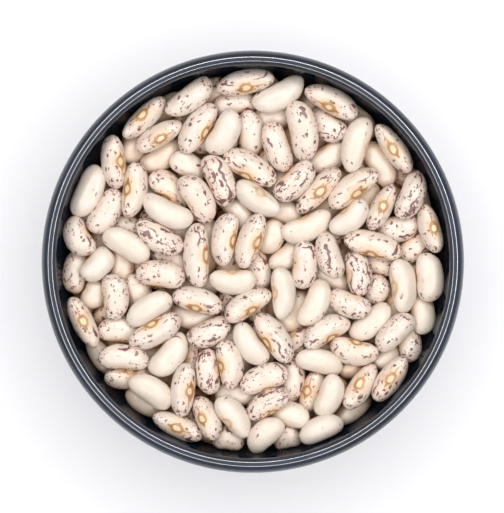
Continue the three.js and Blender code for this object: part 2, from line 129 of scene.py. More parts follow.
# The beans that stand out on top of the heap, and those tucked in under them. Each row holds x and y (mm),
# heading (degrees anticlockwise from +X), length (mm), the side of the eye (degrees: 0 is left of the
# heading, 90 straight up, 180 right), and the look.
LANDMARKS = (
    (-31.4, 43.3, 41, 17, 75, "speckled"),
    (-40.8, 29.4, 105, 16.2, 130, "speckled"),
    (-48.6, 20.6, 67, 16.6, -20, "plain"),
    (-35.3, 20.4, 79, 16.9, 50, "flecked"),
    (-16.3, 40.3, 63, 17.3, 143, "speckled"),
    (-1.6, 53.8, 2, 17.6, 122, "speckled"),
    (8.8, 50.3, 32, 17, -20, "plain"),
    (23.4, 47.8, 153, 17.6, 53, "speckled"),
    (13.9, 39.4, 107, 18.6, -20, "flecked"),
    (-0.8, 29, 139, 17.7, 33, "flecked"),
    (-9.9, 24.4, 120, 16.2, -20, "striped"),
    (1, 20.1, 158, 15.8, 127, "plain"),
    (20.1, 20.4, 47, 18, 102, "speckled"),
    (29.5, 22.5, 43, 17.7, 130, "flecked"),
    (41.5, 33.4, 130, 17.3, 80, "speckled"),
    (46.8, 19.7, 74, 15.7, -30, "striped"),
    (38.7, 15.8, 57, 15.3, 90, "speckled"),
    (52.3, 9.8, 105, 15.1, 106, "speckled"),
    (36.1, 4.9, 170, 17.7, 37, "flecked"),
    (24.3, 2.3, 140, 14.7, 215, "speckled"),
    (16.8, 11.1, 24, 16.1, 19, "plain"),
    (44.7, -7.2, 104, 16.4, 38, "plain"),
    (34.9, -17.5, 34, 15, -20, "plain"),
    (32.5, -37.1, 50, 16, 73, "speckled"),
    (41.1, -35.7, 51, 15.9, 88, "speckled"),
    (30.9, -26.8, 165, 14.7, 148, "flecked"),
    (19.6, -29.8, 173, 14.7, -20, "plain"),
    (22.3, -20.6, 31, 15.6, 148, "flecked"),
    (20.9, -50, 33, 13.9, 200, "plain"),
    (5, -41.9, 28, 14.2, 153, "striped"),
    (2.9, -51.8, 43, 13.2, 200, "plain"),
    (-22.4, -49.1, 152, 16.2, 82, "speckled"),
    (-13.8, -45.6, 126, 14.1, 66, "speckled"),
    (-24.9, -28.7, 59, 15.4, -20, "plain"),
    (-7, -30.6, 94, 14.9, 36, "speckled"),
    (5.9, -22.9, 128, 17.1, 36, "speckled"),
    (-1, -13.5, 36, 15.7, 137, "speckled"),
    (-13, -20.6, 26, 13.7, -25, "striped"),
    (-16.6, -11.9, 163, 15.4, 46, "flecked"),
    (-28.7, -22.2, 41, 17.3, 41, "speckled"),
    (-30.8, -14.3, 32, 15.3, 200, "plain"),
    (-50.1, -18.2, 116, 16.8, 96, "speckled"),
    (-37.6, 4.5, 151, 15.5, -20, "plain"),
    (-28.4, 7, 148, 16, 210, "striped"),
    (-25.7, 15.7, 153, 16.4, 192, "plain"),
    (-17, 2.1, 96, 19.3, 142, "flecked"),
    (-8.4, 6.7, 81, 16.1, 141, "flecked"),
    (0, 7, 71, 17.3, 127, "flecked"),
    (9.3, -9.6, 83, 15.7, 39, "plain"),
    (19, -12.4, 67, 15.2, -20, "plain"),
    (-27.8, 37.6, 34, 16, 110, "speckled"),
    (-17.4, 48.7, 58, 16.8, -20, "speckled"),
    (7.4, 34.6, 110, 15.9, 200, "speckled"),
    (-14.4, 19.5, 113, 16, -20, "speckled"),
    (28.7, 11.7, 40, 13.8, 20, "plain"),
    (53, -4.5, 90, 14.8, 0, "plain"),
    (40.6, -20.5, 46, 14.4, 200, "flecked"),
    (26, -40, 62, 13.3, 0, "plain"),
    (-5.8, -46, 136, 14.7, 43, "plain"),
    (-29.8, -39.5, 147, 14.8, -20, "plain"),
    (3, -33.7, 17, 15.2, 164, "speckled"),
    (-41.9, -9.8, 94, 14, 0, "flecked"),
    (-51.2, 7.1, 121, 12.8, 180, "flecked"),
    (-43.8, 15, 62, 15, 0, "flecked"),
    (-6, -6, 178, 14, 153, "plain"),
    (-27.9, -4, 171, 14.8, 0, "speckled"),
    (15.5, -1.7, 92, 14.6, 0, "flecked"),
    (28.9, -11.9, 153, 13.4, 180, "speckled"),
    (-9.1, 38.6, 70, 14.9, 0, "plain"),
    (30.7, 34.8, 70, 17.3, 165, "plain"),
    (-46.9, -1.2, 72, 12, 0, "plain"),
    (-38, -28.2, 3, 15.3, 180, "flecked"),
    (-20.6, -37.7, 83, 16.3, 128, "flecked"),
    (-1.9, -25, 124, 14.5, 180, "plain"),
    (30.2, -2.8, 108, 14, 0, "striped"),
    (12.7, 23.5, 50, 15.2, 0, "striped"),
    (-13.9, -32.9, 93, 13.9, 180, "striped"),
)
TUCKED = (
    (-4, 47.1, 8, 14.5, 180, "flecked"),
    (-0.6, 38.2, 98, 15, 0, "flecked"),
    (-24.9, 22.1, 133, 15.6, 33, "speckled"),
    (-26.6, 30.7, 38, 14.3, 0, "plain"),
    (22.4, 40, 117, 12.8, 180, "flecked"),
    (22.5, 31, 25, 13.8, 20, "plain"),
    (37, 29.2, 121, 15.6, 0, "plain"),
    (43.6, 9.9, 13, 13, 0, "speckled"),
    (-52.6, -3, 98, 14, 200, "speckled"),
    (-38.9, -20.7, 172, 14.6, 0, "speckled"),
    (-36.2, -34.9, 13, 14.8, 60, "speckled"),
    (-6.9, -53.7, 40, 9.8, 180, "speckled"),
    (47, -24.5, 114, 12.6, 0, "flecked"),
    (50.3, -16.7, 106, 14.6, 0, "plain"),
    (12.4, -24.9, 76, 13.6, 0, "striped"),
    (12.6, -35.2, 78, 13.6, 0, "flecked"),
    (12, -46, 168, 12.6, 0, "plain"),
    (31.6, -44.6, 34, 14, 270, "plain"),
    (10.6, -53.5, 0, 9, 200, "flecked"),
    (-33, -41.2, 151, 13.4, 270, "plain"),
    (16.6, -39.7, 77, 13.6, 60, "flecked"),
    (-19.2, 28.7, 130, 12.6, 0, "plain"),
    (-4.3, 15.2, 130, 12.6, 0, "plain"),
    (-39, 11, 135, 12.6, 0, "flecked"),
    (-34.6, -9.1, 125, 13.4, 0, "flecked"),
    (-37.9, -2, 100, 12.6, 0, "plain"),
    (-18.1, -16, 5, 13.6, 0, "plain"),
    (-5.1, -39.7, 10, 13.6, 0, "plain"),
    (37.1, -8.5, 100, 9.6, 0, "flecked"),
    (36.6, -2, 170, 13, 0, "speckled"),
    (24, -4.5, 148, 13, 0, "plain"),
    (41, -26.1, 60, 10, 0, "plain"),
    (47.5, 5, 60, 11.6, 0, "flecked"),
    (8.2, 14.1, 168, 13, 0, "plain"),
    (6.8, 8, 60, 11, 0, "plain"),
    (9.4, 1.9, 35, 12.6, 0, "plain"),
    (3.2, -0.9, 115, 13.6, 0, "speckled"),
    (12.4, -16.6, 75, 14, 0, "plain"),
    (-45.9, -30, 125, 14, 270, "plain"),
    (6, 43.4, 20, 13.6, 0, "plain"),
    (-47.7, -9, 100, 9.6, 0, "plain"),
)

# ---- Shapes of a single bean ----
SHAPE_SIZE = Vector((16, 8.2, 6.8)) * MM  # length, width and thickness of the shapes before they are scaled
# Each shape has its bow (mm), the bluntness of its outline, how much plumper one end is, and the depth of the
# hollow round the eye (mm).
SHAPES = (
    (0.9, 3.0, 0.03, 0.25),
    (1.3, 2.8, 0.05, 0.5),
    (0.7, 3.3, -0.04, 0.2),
    (1.0, 2.6, 0.08, 0.35),
    (1.1, 3.1, -0.07, 0.45),
    (0.8, 2.7, 0.0, 0.3),
)
EDGE_BLUNTNESS, EDGE_FULLNESS = 2.2, 0.52  # exponents of the outline as it is seen from the narrow edge
# Above 0, cross-sections crowd at the tips, and the points round each one crowd on the side with the eye.
TIP_CROWDING = 0.2
EYE_CROWDING = 0.42
# Half length and half width of each form of the eye, and how far the last two rise.
EYE_HOLLOW = (3.4 * MM, 2.6 * MM)
EYE_RIM, RIM_RISE, RIM_SOFTNESS = (1.9 * MM, 1.15 * MM), 0.16 * MM, 0.35
EYE_PAD, PAD_RISE = (1.4 * MM, 0.8 * MM), 0.1 * MM
DENT_SCALE = 0.28  # dents for each millimetre
# What the points that carry the beans say of each one, besides its place.
TRAITS = {"turn": "FLOAT_VECTOR", "size": "FLOAT_VECTOR", "shape": "INT", "seed": "FLOAT", "tint": "FLOAT"}

# ---- Skin of a bean ----
# How thickly spots, pepper and streaks lie on each look.
LOOK_MARKS = {
    "plain": (0.012, 0.0, 0.0),
    "flecked": (0.5, 0.72, 0.66),
    "speckled": (0.47, 0.88, 0.6),
    "striped": (0.46, 0.7, 1.25),
}
EYE_PLACE = (0, 4, 0)  # on a bean, in millimetres
# Painted shade on the beans' skins: none above the first height, full below the second.
FULL_LIGHT_ABOVE = 1.0 * MM  # above the level of the top beans' middles
FULL_SHADE_BELOW = 8 * MM
WHITE = (1, 1, 1, 1)

# ---- Bowl and core: what isn't a setting ----
FOOT_BEVEL = 0.8 * MM
CORE_DEPTH = 13 * MM  # of the core's top under the middles of the top beans
CORE_CLEARANCE = 0.8 * MM  # between the core and the bowl
TURN_CROWDING = 1.4  # above 1, the wall's points crowd where it turns into the floor
BOWL_SEGMENTS = 160
OUTSIDE_STEPS = 40
UNDER_LIP_STEPS = 9
LIP_OUTER_STEPS = 20
LIP_INNER_STEPS = 12
WALL_STEPS = 48
CORE_SEGMENTS = 96
CORE_WALL_STEPS = 16

# ---- View and light ----
FRAME_WIDTH, FRAME_HEIGHT = 504, 513  # pixels of the rendered image
RIM_CENTRE = (252.8, 261.7)  # pixel at which the rim's middle lies
RIM_RADIUS_PIXELS = 211.2
# Sizes and distances of the floor and the lights are in metres.
FLOOR_HALF = 3.0
FILL_COLOUR = (0.96, 0.97, 1.0)
OVERHEAD_SIZE, OVERHEAD_DISTANCE = (0.9, 0.9), 1.3
RING_BOXES = 12
RING_SLOPE = 34  # degrees from the vertical
RING_SIZE, RING_DISTANCE = (0.25, 0.14), 0.85
SHINE_SIZE, SHINE_DISTANCE = (0.25, 0.07), 0.84
BRIGHTEST_BEARING = 60  # degrees anticlockwise from +X
RING_DIMMING = 0.45  # how much weaker the ring is on the other side


# ---- Settings ----
def length_setting(name, description, default):
    return FloatProperty(name=name, description=description, default=default, unit="LENGTH")


def power_setting(name, description, default):
    return FloatProperty(name=name, description=description, default=default, unit="POWER")


def colour_setting(name, description, default):
    return FloatVectorProperty(
        name=name, description=description, default=default, subtype="COLOR", min=0, max=1,
    )


class BowlSettings(bpy.types.PropertyGroup):
    """Sizes and colours of the bowl"""

    radius: length_setting(
        "Radius", "Outside, at the fullest part of the rolled lip", (BOWL_HIGH.x - BOWL_LOW.x) / 2,
    )
    height: length_setting("Height", "From the foot to the top of the lip", BOWL_HIGH.z - BOWL_LOW.z)
    wall_thickness: length_setting("Wall thickness", "Thickness of the wall and the floor", 3.6 * MM)
    lip_crest_radius: length_setting("Lip crest radius", "Where the lip is highest", 59.8 * MM)
    lip_inner_roll: length_setting("Lip inner roll", "Radius of the lip's inner half", 1.8 * MM)
    lip_outer_drop: length_setting("Lip outer drop", "Height of the lip's outer half", 3.8 * MM)
    lip_under_drop: length_setting(
        "Lip under drop", "Height over which the lip returns to the wall", 4.2 * MM,
    )
    wall_taper: FloatProperty(
        name="Wall taper", description="How far the wall leans in for each metre down", default=0.03,
    )
    wall_roundness: FloatProperty(
        name="Wall roundness", description="Exponent of the curve from wall to floor", default=2.8,
    )
    floor_height: length_setting("Floor height", "Height of the inner floor", 6 * MM)
    foot_radius: length_setting("Foot radius", "Outside radius of the foot ring", 26 * MM)
    foot_ring_width: length_setting("Foot ring width", "Width of the face that it stands on", 4 * MM)
    foot_recess: length_setting("Foot recess", "How far the underside is hollowed", 2.6 * MM)
    glaze: colour_setting("Glaze", "Colour of the glaze", (0.014, 0.020, 0.035))
    clay: colour_setting("Clay", "Colour of the bare clay under the foot ring", (0.11, 0.085, 0.07))


class BeanSettings(bpy.types.PropertyGroup):
    """Colours and fineness of the beans"""

    cream: colour_setting("Cream", "Skin of the plain beans", (0.78, 0.688, 0.602))
    pale: colour_setting("Pale", "Skin between the marks of the others", (0.785, 0.69, 0.61))
    blush: colour_setting("Blush", "Tint around the marks", (0.62, 0.36, 0.295))
    marks: colour_setting("Marks", "Spots, pepper and streaks", (0.135, 0.038, 0.034))
    eye: colour_setting("Eye", "Middle of the eye", (0.80, 0.62, 0.38))
    eye_ring: colour_setting("Eye ring", "Ring round the eye", (0.32, 0.138, 0.036))
    eye_glow: colour_setting("Eye glow", "Soft tint around the ring", (0.75, 0.46, 0.21))
    # Painted shade: the beans' skin colour is multiplied by this deep down between them.
    shade: colour_setting(
        "Shade", "What the skin's colour is multiplied by deep down between the beans", (0.82, 0.58, 0.37),
    )
    dent_depth: length_setting("Dent depth", "How uneven the skin is", 0.4 * MM)
    rings: IntProperty(name="Rings", description="Cross-sections along a bean", default=34, min=8)
    sides: IntProperty(name="Sides", description="Points round each cross-section", default=26, min=8)


class StageSettings(bpy.types.PropertyGroup):
    """Floor, light and camera"""

    floor: colour_setting("Floor", "Colour of the floor", (0.91, 0.905, 0.925))
    light: power_setting("Light", "Power of the strongest light in the ring", 0.75)
    shine: power_setting("Shine", "Power of the strongest light that only the gloss shows", 1.6)
    overhead: power_setting("Overhead", "Power of the light straight above", 1.74)
    fill: FloatProperty(name="Fill", description="Strength of the light from all round", default=0.45)
    camera_height: length_setting("Camera height", "Height of the camera above the floor", 0.75)


# ---- The rule that lays the beans ----
def wall_radius(z, offset, bowl):
    """Radius of the wall at a height, for the inner face grown outwards by an offset."""
    wall_top = bowl.height - bowl.lip_inner_roll
    down = np.maximum(0, wall_top - z)
    share = np.minimum(1, down / (wall_top - bowl.floor_height + offset))
    straight = bowl.lip_crest_radius - bowl.lip_inner_roll + offset - bowl.wall_taper * down
    return straight * (1 - share ** bowl.wall_roundness) ** (1 / bowl.wall_roundness)


def seeded_draws(start):
    """A plain multiplicative generator, so that the same seed always gives the same heap."""
    state = start

    def draw(low, high):
        nonlocal state
        state = state * 48271 % 2147483647
        return low + (high - low) * state / 2147483647

    return draw


def make_bean(layer, x, y, z, heading, length, eye, draw, look=None):
    """A bean knows its size, the side of its eye, the two ends of its axis and how it settles."""
    width = BEAN_WIDTH_BASE + BEAN_WIDTH_SHARE * length + draw(-BEAN_UNEVENNESS, BEAN_UNEVENNESS)
    thickness = BEAN_THICKNESS + draw(-BEAN_UNEVENNESS, BEAN_UNEVENNESS)
    reach = LOBE_REACH * width
    half = length / 2 - reach
    turn = math.radians(heading)
    along = np.array([math.cos(turn), math.sin(turn), 0])
    centre = np.array([x, y, z])
    return {
        "layer": layer, "look": look, "length": length, "width": width, "thickness": thickness,
        "reach": reach, "half": half, "eye": math.radians(eye),
        "tail": centre - half * along, "head": centre + half * along,
    }


def level_at(x, y):
    """Height of the top beans' middles."""
    return HEAP_LEVEL - HEAP_DOME * (x * x + y * y) / HEAP_RADIUS ** 2


def eye_side(draw):
    if draw(0, 1) < EYE_UP_SHARE:
        return draw(*EYE_UP)
    return draw(*EYE_ASIDE) + (0 if draw(0, 1) < 0.5 else 180)


def hand_laid_beans(layer, rows, depth, draw):
    beans = []
    for x, y, heading, length, eye, look in rows:
        z = level_at(x * MM, y * MM) - depth + draw(-LEVEL_SPREAD, LEVEL_SPREAD)
        beans.append(make_bean(layer, x * MM, y * MM, z, heading, length * MM, eye, draw, look))
    return beans


def room_beside(places, laid):
    """Room in plan between every place and a laid bean, from three discs in each."""
    rooms = []
    for a in (-PROBE_HALF, 0, PROBE_HALF):
        for b in (0, 0.5, 1):
            disc = laid["tail"] + (laid["head"] - laid["tail"]) * b
            dx = places["x"] + a * places["cos"] - disc[0]
            dy = places["y"] + a * places["sin"] - disc[1]
            rooms.append(np.hypot(dx, dy) - PROBE_RADIUS - LAID_SHARE * laid["width"])
    return np.min(rooms, axis=0)


def empty_places(least_room):
    """Every place and heading for a bean in an empty bowl, with its room to the heap's edge."""
    steps = np.arange(-HEAP_RADIUS, HEAP_RADIUS + TIE, GAP_GRID)
    turns = 180 * np.arange(GAP_TURNS) / GAP_TURNS
    x, y, heading = (grid.ravel() for grid in np.meshgrid(steps, steps, turns, indexing="ij"))
    cos, sin = np.cos(np.radians(heading)), np.sin(np.radians(heading))
    ends = [np.hypot(x + way * PROBE_HALF * cos, y + way * PROBE_HALF * sin) for way in (-1, 1)]
    room = HEAP_RADIUS - PROBE_RADIUS - np.maximum(*ends)
    fits = room > least_room
    return {
        "x": x[fits], "y": y[fits], "heading": heading[fits],
        "cos": cos[fits], "sin": sin[fits], "room": room[fits],
    }


def gap_beans(layer, laid, gap, draw):
    """Beans between those already laid: the largest gap takes the next one, until no gap is large enough."""
    least_room, depth = gap
    places = empty_places(least_room)
    room = places["room"]
    for bean in laid:
        room = np.minimum(room, room_beside(places, bean))
    beans = []
    while room.max() >= least_room:
        best = np.flatnonzero(room > room.max() - TIE)[0]
        x, y, heading = (places[key][best] for key in ("x", "y", "heading"))
        eye = eye_side(draw)
        length = draw(*BEAN_LENGTH)
        z = level_at(x, y) - depth + draw(-LEVEL_SPREAD, LEVEL_SPREAD)
        bean = make_bean(layer, x, y, z, heading, length, eye, draw)
        beans.append(bean)
        room = np.minimum(room, room_beside(places, bean))
    return beans


def bed_beans(draw, bowl):
    """The lowest layer: an even spiral of beans with headings drawn at random."""
    golden_turn = math.pi * (3 - math.sqrt(5))
    z = HEAP_LEVEL - BED_DEPTH
    reach = wall_radius(z, 0, bowl) - BED_MARGIN
    beans = []
    for i in range(BED_COUNT):
        r = reach * math.sqrt((i + 0.5) / BED_COUNT)
        eye = eye_side(draw)
        heading = draw(0, 180)
        length = draw(*BEAN_LENGTH)
        x, y = r * math.cos(i * golden_turn), r * math.sin(i * golden_turn)
        beans.append(make_bean("lower", x, y, z, heading, length, eye, draw))
    return beans


def lay_out(bowl):
    draw = seeded_draws(HEAP_SEED)
    beans = hand_laid_beans("landmark", LANDMARKS, 0, draw)
    beans += hand_laid_beans("tucked", TUCKED, TUCKED_DEPTH, draw)
    beans += gap_beans("top", beans, TOP_GAP, draw)
    beans += gap_beans("lower", beans, LOWER_GAP, draw)
    return beans + bed_beans(draw, bowl)


# ---- Settling ----
def unit(vectors):
    return vectors / np.linalg.norm(vectors, axis=-1, keepdims=True)


def bean_frames(tail, head, eye):
    """Axis, eye direction, flat direction and middle of each bean."""
    along = unit(head - tail)
    left = unit(np.stack([-along[:, 1], along[:, 0], np.zeros(len(along))], axis=1))
    up = np.cross(along, left)
    to_eye = left * np.cos(eye)[:, None] + up * np.sin(eye)[:, None]
    return along, to_eye, np.cross(along, to_eye), (tail + head) / 2


def near_pairs(middle, length):
    """Pairs of beans whose middles are close enough for them to touch."""
    first, second = np.triu_indices(len(middle), 1)
    apart = np.linalg.norm(middle[first] - middle[second], axis=1)
    near = apart < (length[first] + length[second]) / 2 + PAIR_MARGIN
    return first[near], second[near]


def lobe_reach(axes, direction):
    """How far ellipsoid lobes with these half axes reach in a direction."""
    return np.sqrt(np.sum(np.einsum("...nd,...d->...n", axes, direction) ** 2, axis=-1))


def contact_pushes(centres, axes, mass, pairs):
    """Sum and number of the pushes on each lobe from the beans that overlap it."""
    first, second = pairs
    sums, counts = np.zeros(centres.shape), np.zeros(centres.shape[:2])
    towards = centres[second][:, None] - centres[first][:, :, None]
    distance = np.linalg.norm(towards, axis=-1)
    towards = towards / distance[..., None]
    reach = lobe_reach(axes[first][:, :, None], towards) + lobe_reach(axes[second][:, None], towards)
    touching = (reach > distance) & (distance <= CONTACT_REACH)
    push = towards * np.where(touching, reach - distance, 0)[..., None]
    share = (mass[second] / (mass[first] + mass[second]))[:, None, None]
    np.add.at(sums, first, -share * push.sum(axis=2))
    np.add.at(sums, second, (1 - share) * push.sum(axis=1))
    np.add.at(counts, first, touching.sum(axis=2))
    np.add.at(counts, second, touching.sum(axis=1))
    return sums, counts


def settle(beans, bowl):
    """Gives the frame and middle of each bean once all have settled.

    Lower beans press up under the top ones, overlaps are pushed apart, the wall pushes beans in, and those on
    top are drawn back to their places, less and less towards the end.
    """
    length, width, thickness, reach, half, eye, tail, head = (
        np.array([bean[key] for bean in beans])
        for key in ("length", "width", "thickness", "reach", "half", "eye", "tail", "head")
    )
    homes = tail.copy(), head.copy()
    layers = [bean["layer"] for bean in beans]
    hold, mass, steepest = (np.array([table[layer] for layer in layers]) for table in (HOLD, MASS, STEEPEST))
    lower = np.array(layers) == "lower"
    for step in range(SETTLE_STEPS):
        calm = 1 - step / SETTLE_STEPS
        for end in (tail, head):
            below = level_at(end[:, 0], end[:, 1]) - UNDER_TOP - end[:, 2]
            end[:, 2] += np.where(lower, np.minimum(PRESS_PER_STEP * calm, below), 0)
        along, to_eye, flat, middle = bean_frames(tail, head, eye)
        if step % PAIR_RENEWAL == 0:
            pairs = near_pairs(middle, length)
        centres = middle[:, None] + LOBE_PLACES[:, None] * (half[:, None] * along)[:, None]
        centres = centres + LOBE_BOWS[:, None] * to_eye[:, None]
        axes = np.stack([
            np.broadcast_to((reach[:, None] * along)[:, None], centres.shape),
            LOBE_SIZES[:, None] * (width[:, None] / 2 * to_eye)[:, None],
            LOBE_SIZES[:, None] * (thickness[:, None] / 2 * flat)[:, None],
        ], axis=2)
        sums, counts = contact_pushes(centres, axes, mass, pairs)
        radius = np.hypot(centres[..., 0], centres[..., 1])
        outward = centres * (1, 1, 0) / radius[..., None]
        beyond = radius + lobe_reach(axes, outward) - wall_radius(centres[..., 2], 0, bowl) + WALL_GAP
        sums -= outward * np.maximum(0, beyond)[..., None]
        counts += beyond > 0
        # The tail takes the pushes on the tail and middle lobes, the head those on the middle and head lobes.
        for end, home, lobes in ((tail, homes[0], slice(0, 2)), (head, homes[1], slice(1, 3))):
            count = np.maximum(1, counts[:, lobes].sum(axis=1))
            end += sums[:, lobes].sum(axis=1) * (PUSH_GAIN / count)[:, None]
            end += (home - end) * (hold * calm)[:, None]
        along, _, _, middle = bean_frames(tail, head, eye)
        middle[:, 2] = np.minimum(middle[:, 2], level_at(middle[:, 0], middle[:, 1]) + TOP_RISE)
        rise = np.clip(along[:, 2], -steepest, steepest)
        level = np.sqrt((1 - rise ** 2) / (along[:, 0] ** 2 + along[:, 1] ** 2))
        along = np.stack([along[:, 0] * level, along[:, 1] * level, rise], axis=1)
        tail, head = middle - half[:, None] * along, middle + half[:, None] * along
    return bean_frames(tail, head, eye)


# ---- Meshes ----
def arc(centre_r, centre_z, radius_r, radius_z, start, stop, steps):
    """Points on a quarter or more of an ellipse, from one angle in degrees to another."""
    angles = np.radians(np.linspace(start, stop, steps + 1))
    return list(zip(centre_r + radius_r * np.cos(angles), centre_z + radius_z * np.sin(angles)))


def wall_points(offset, top, steps, bowl, lowest_radius=1 * MM):
    """Points down the wall as far as a lowest radius, closer together where it turns into the floor."""
    bottom = bowl.floor_height - offset
    heights = bottom + (top - bottom) * np.cos(np.linspace(0, math.pi / 2, steps + 1)) ** TURN_CROWDING
    return [(r, z) for z in heights if (r := float(wall_radius(z, offset, bowl))) > lowest_radius]


def capped_faces(rows, around):
    """Faces of a closed mesh whose points are one tip, rows of points around, and the other tip."""
    last = rows * around + 1
    faces = []
    for i in range(around):
        j = (i + 1) % around
        faces.append((0, 1 + j, 1 + i))
        faces.append((last, last - around + i, last - around + j))
        for row in range(rows - 1):
            a, b = 1 + row * around, 1 + (row + 1) * around
            faces.append((a + i, a + j, b + j, b + i))
    return faces


def turned_mesh(name, profile, segments):
    """A closed mesh turned about the Z axis from a profile that starts and ends on the axis."""
    turns = np.linspace(0, 2 * math.pi, segments, endpoint=False)
    verts = [(0, 0, profile[0][1])]
    verts += [(r * math.cos(t), r * math.sin(t), z) for r, z in profile[1:-1] for t in turns]
    verts += [(0, 0, profile[-1][1])]
    mesh = bpy.data.meshes.new(name)
    mesh.from_pydata(verts, [], capped_faces(len(profile) - 2, segments))
    mesh.shade_smooth()
    return mesh


def bowl_profile(bowl):
    """From the middle of the underside, out round the lip, and in to the middle of the floor."""
    bevel = FOOT_BEVEL
    roll = bowl.lip_inner_roll
    wall_top = bowl.height - roll
    ring_inner = bowl.foot_radius - bowl.foot_ring_width
    lip_width = bowl.radius - bowl.lip_crest_radius
    lip_base = bowl.height - bowl.lip_outer_drop
    under_lip = lip_base - bowl.lip_under_drop
    foot_edge = bowl.foot_radius + 0.7 * bevel
    outside = wall_points(bowl.wall_thickness, under_lip, OUTSIDE_STEPS, bowl, foot_edge)[::-1]
    wall_r = outside[-1][0]
    # The lip's underside runs back to the wall in one soft S.
    under = []
    for i in range(1, UNDER_LIP_STEPS):
        t = i / UNDER_LIP_STEPS
        ease = t * t * (3 - 2 * t)
        under.append((wall_r + (bowl.radius - wall_r) * ease, under_lip + bowl.lip_under_drop * t))
    return [
        (0, bowl.foot_recess),
        (ring_inner - 2.5 * bevel, bowl.foot_recess),
        *arc(ring_inner - bevel, bowl.foot_recess - bevel, bevel, bevel, 90, 0, 3)[1:],
        *arc(ring_inner + bevel / 2, bevel / 2, bevel / 2, bevel / 2, 180, 270, 3),
        *arc(bowl.foot_radius - bevel / 2, bevel / 2, bevel / 2, bevel / 2, 270, 360, 3),
        (bowl.foot_radius, outside[0][1] - bevel),
        *outside,
        *under,
        *arc(bowl.lip_crest_radius, lip_base, lip_width, bowl.lip_outer_drop, 0, 90, LIP_OUTER_STEPS),
        *arc(bowl.lip_crest_radius, wall_top, roll, roll, 90, 180, LIP_INNER_STEPS)[1:-1],
        *wall_points(0, wall_top, WALL_STEPS, bowl),
        (0, bowl.floor_height),
    ]


def core_profile(bowl):
    """From the middle of the core's underside, up along the wall, and in to the middle of its top."""
    core_top = HEAP_LEVEL - CORE_DEPTH
    return [
        (0, bowl.floor_height + CORE_CLEARANCE),
        *wall_points(-CORE_CLEARANCE, core_top - HEAP_DOME, CORE_WALL_STEPS, bowl)[::-1],
        (0, core_top),
    ]


def bean_shape(name, bow, bluntness, plumper, hollow, rings, sides):
    """One smooth bean, with its length along X, its eye towards +Y and its flat sides towards +Z and -Z.

    The point attribute `local` keeps each point's place on the bean in millimetres.
    """
    steps = np.linspace(-1, 1, rings + 2)[1:-1]
    share = np.sin(math.pi / 2 * steps * (1 - TIP_CROWDING + TIP_CROWDING * steps ** 2))
    turns = np.linspace(0, 2 * math.pi, sides, endpoint=False)
    angle = turns - EYE_CROWDING * np.sin(turns)
    share, angle = (grid.ravel() for grid in np.meshgrid(share, angle, indexing="ij"))
    plump = 1 + plumper * share
    outline = np.sqrt(1 - np.abs(share) ** bluntness) * plump
    edge = (1 - np.abs(share) ** EDGE_BLUNTNESS) ** EDGE_FULLNESS * plump
    x = SHAPE_SIZE.x / 2 * share
    y = SHAPE_SIZE.y / 2 * outline * np.cos(angle)
    z = SHAPE_SIZE.z / 2 * edge * np.sin(angle)
    # The eye sits in a hollow with a low rim, on the side that faces +Y.
    facing = np.clip(np.cos(angle), 0, 1) ** 2
    around_hollow, around_rim, around_pad = (
        np.hypot(x / half_long, z / half_wide) for half_long, half_wide in (EYE_HOLLOW, EYE_RIM, EYE_PAD)
    )
    rise = RIM_RISE * np.exp(-((around_rim - 1) / RIM_SOFTNESS) ** 2) + PAD_RISE * np.exp(-around_pad ** 2)
    y = y + facing * (rise - hollow * MM * np.exp(-around_hollow ** 2))
    y = y + bow * MM * (share ** 2 - BOW_BALANCE)
    tip = bow * MM * (1 - BOW_BALANCE)
    verts = np.vstack([
        [(-SHAPE_SIZE.x / 2, tip, 0)], np.stack([x, y, z], axis=1), [(SHAPE_SIZE.x / 2, tip, 0)],
    ])
    mesh = bpy.data.meshes.new(name)
    mesh.from_pydata(verts.tolist(), [], capped_faces(rings, sides))
    local = mesh.attributes.new("local", "FLOAT_VECTOR", "POINT")
    local.data.foreach_set("vector", (verts / MM).astype(np.float32).ravel())
    return mesh


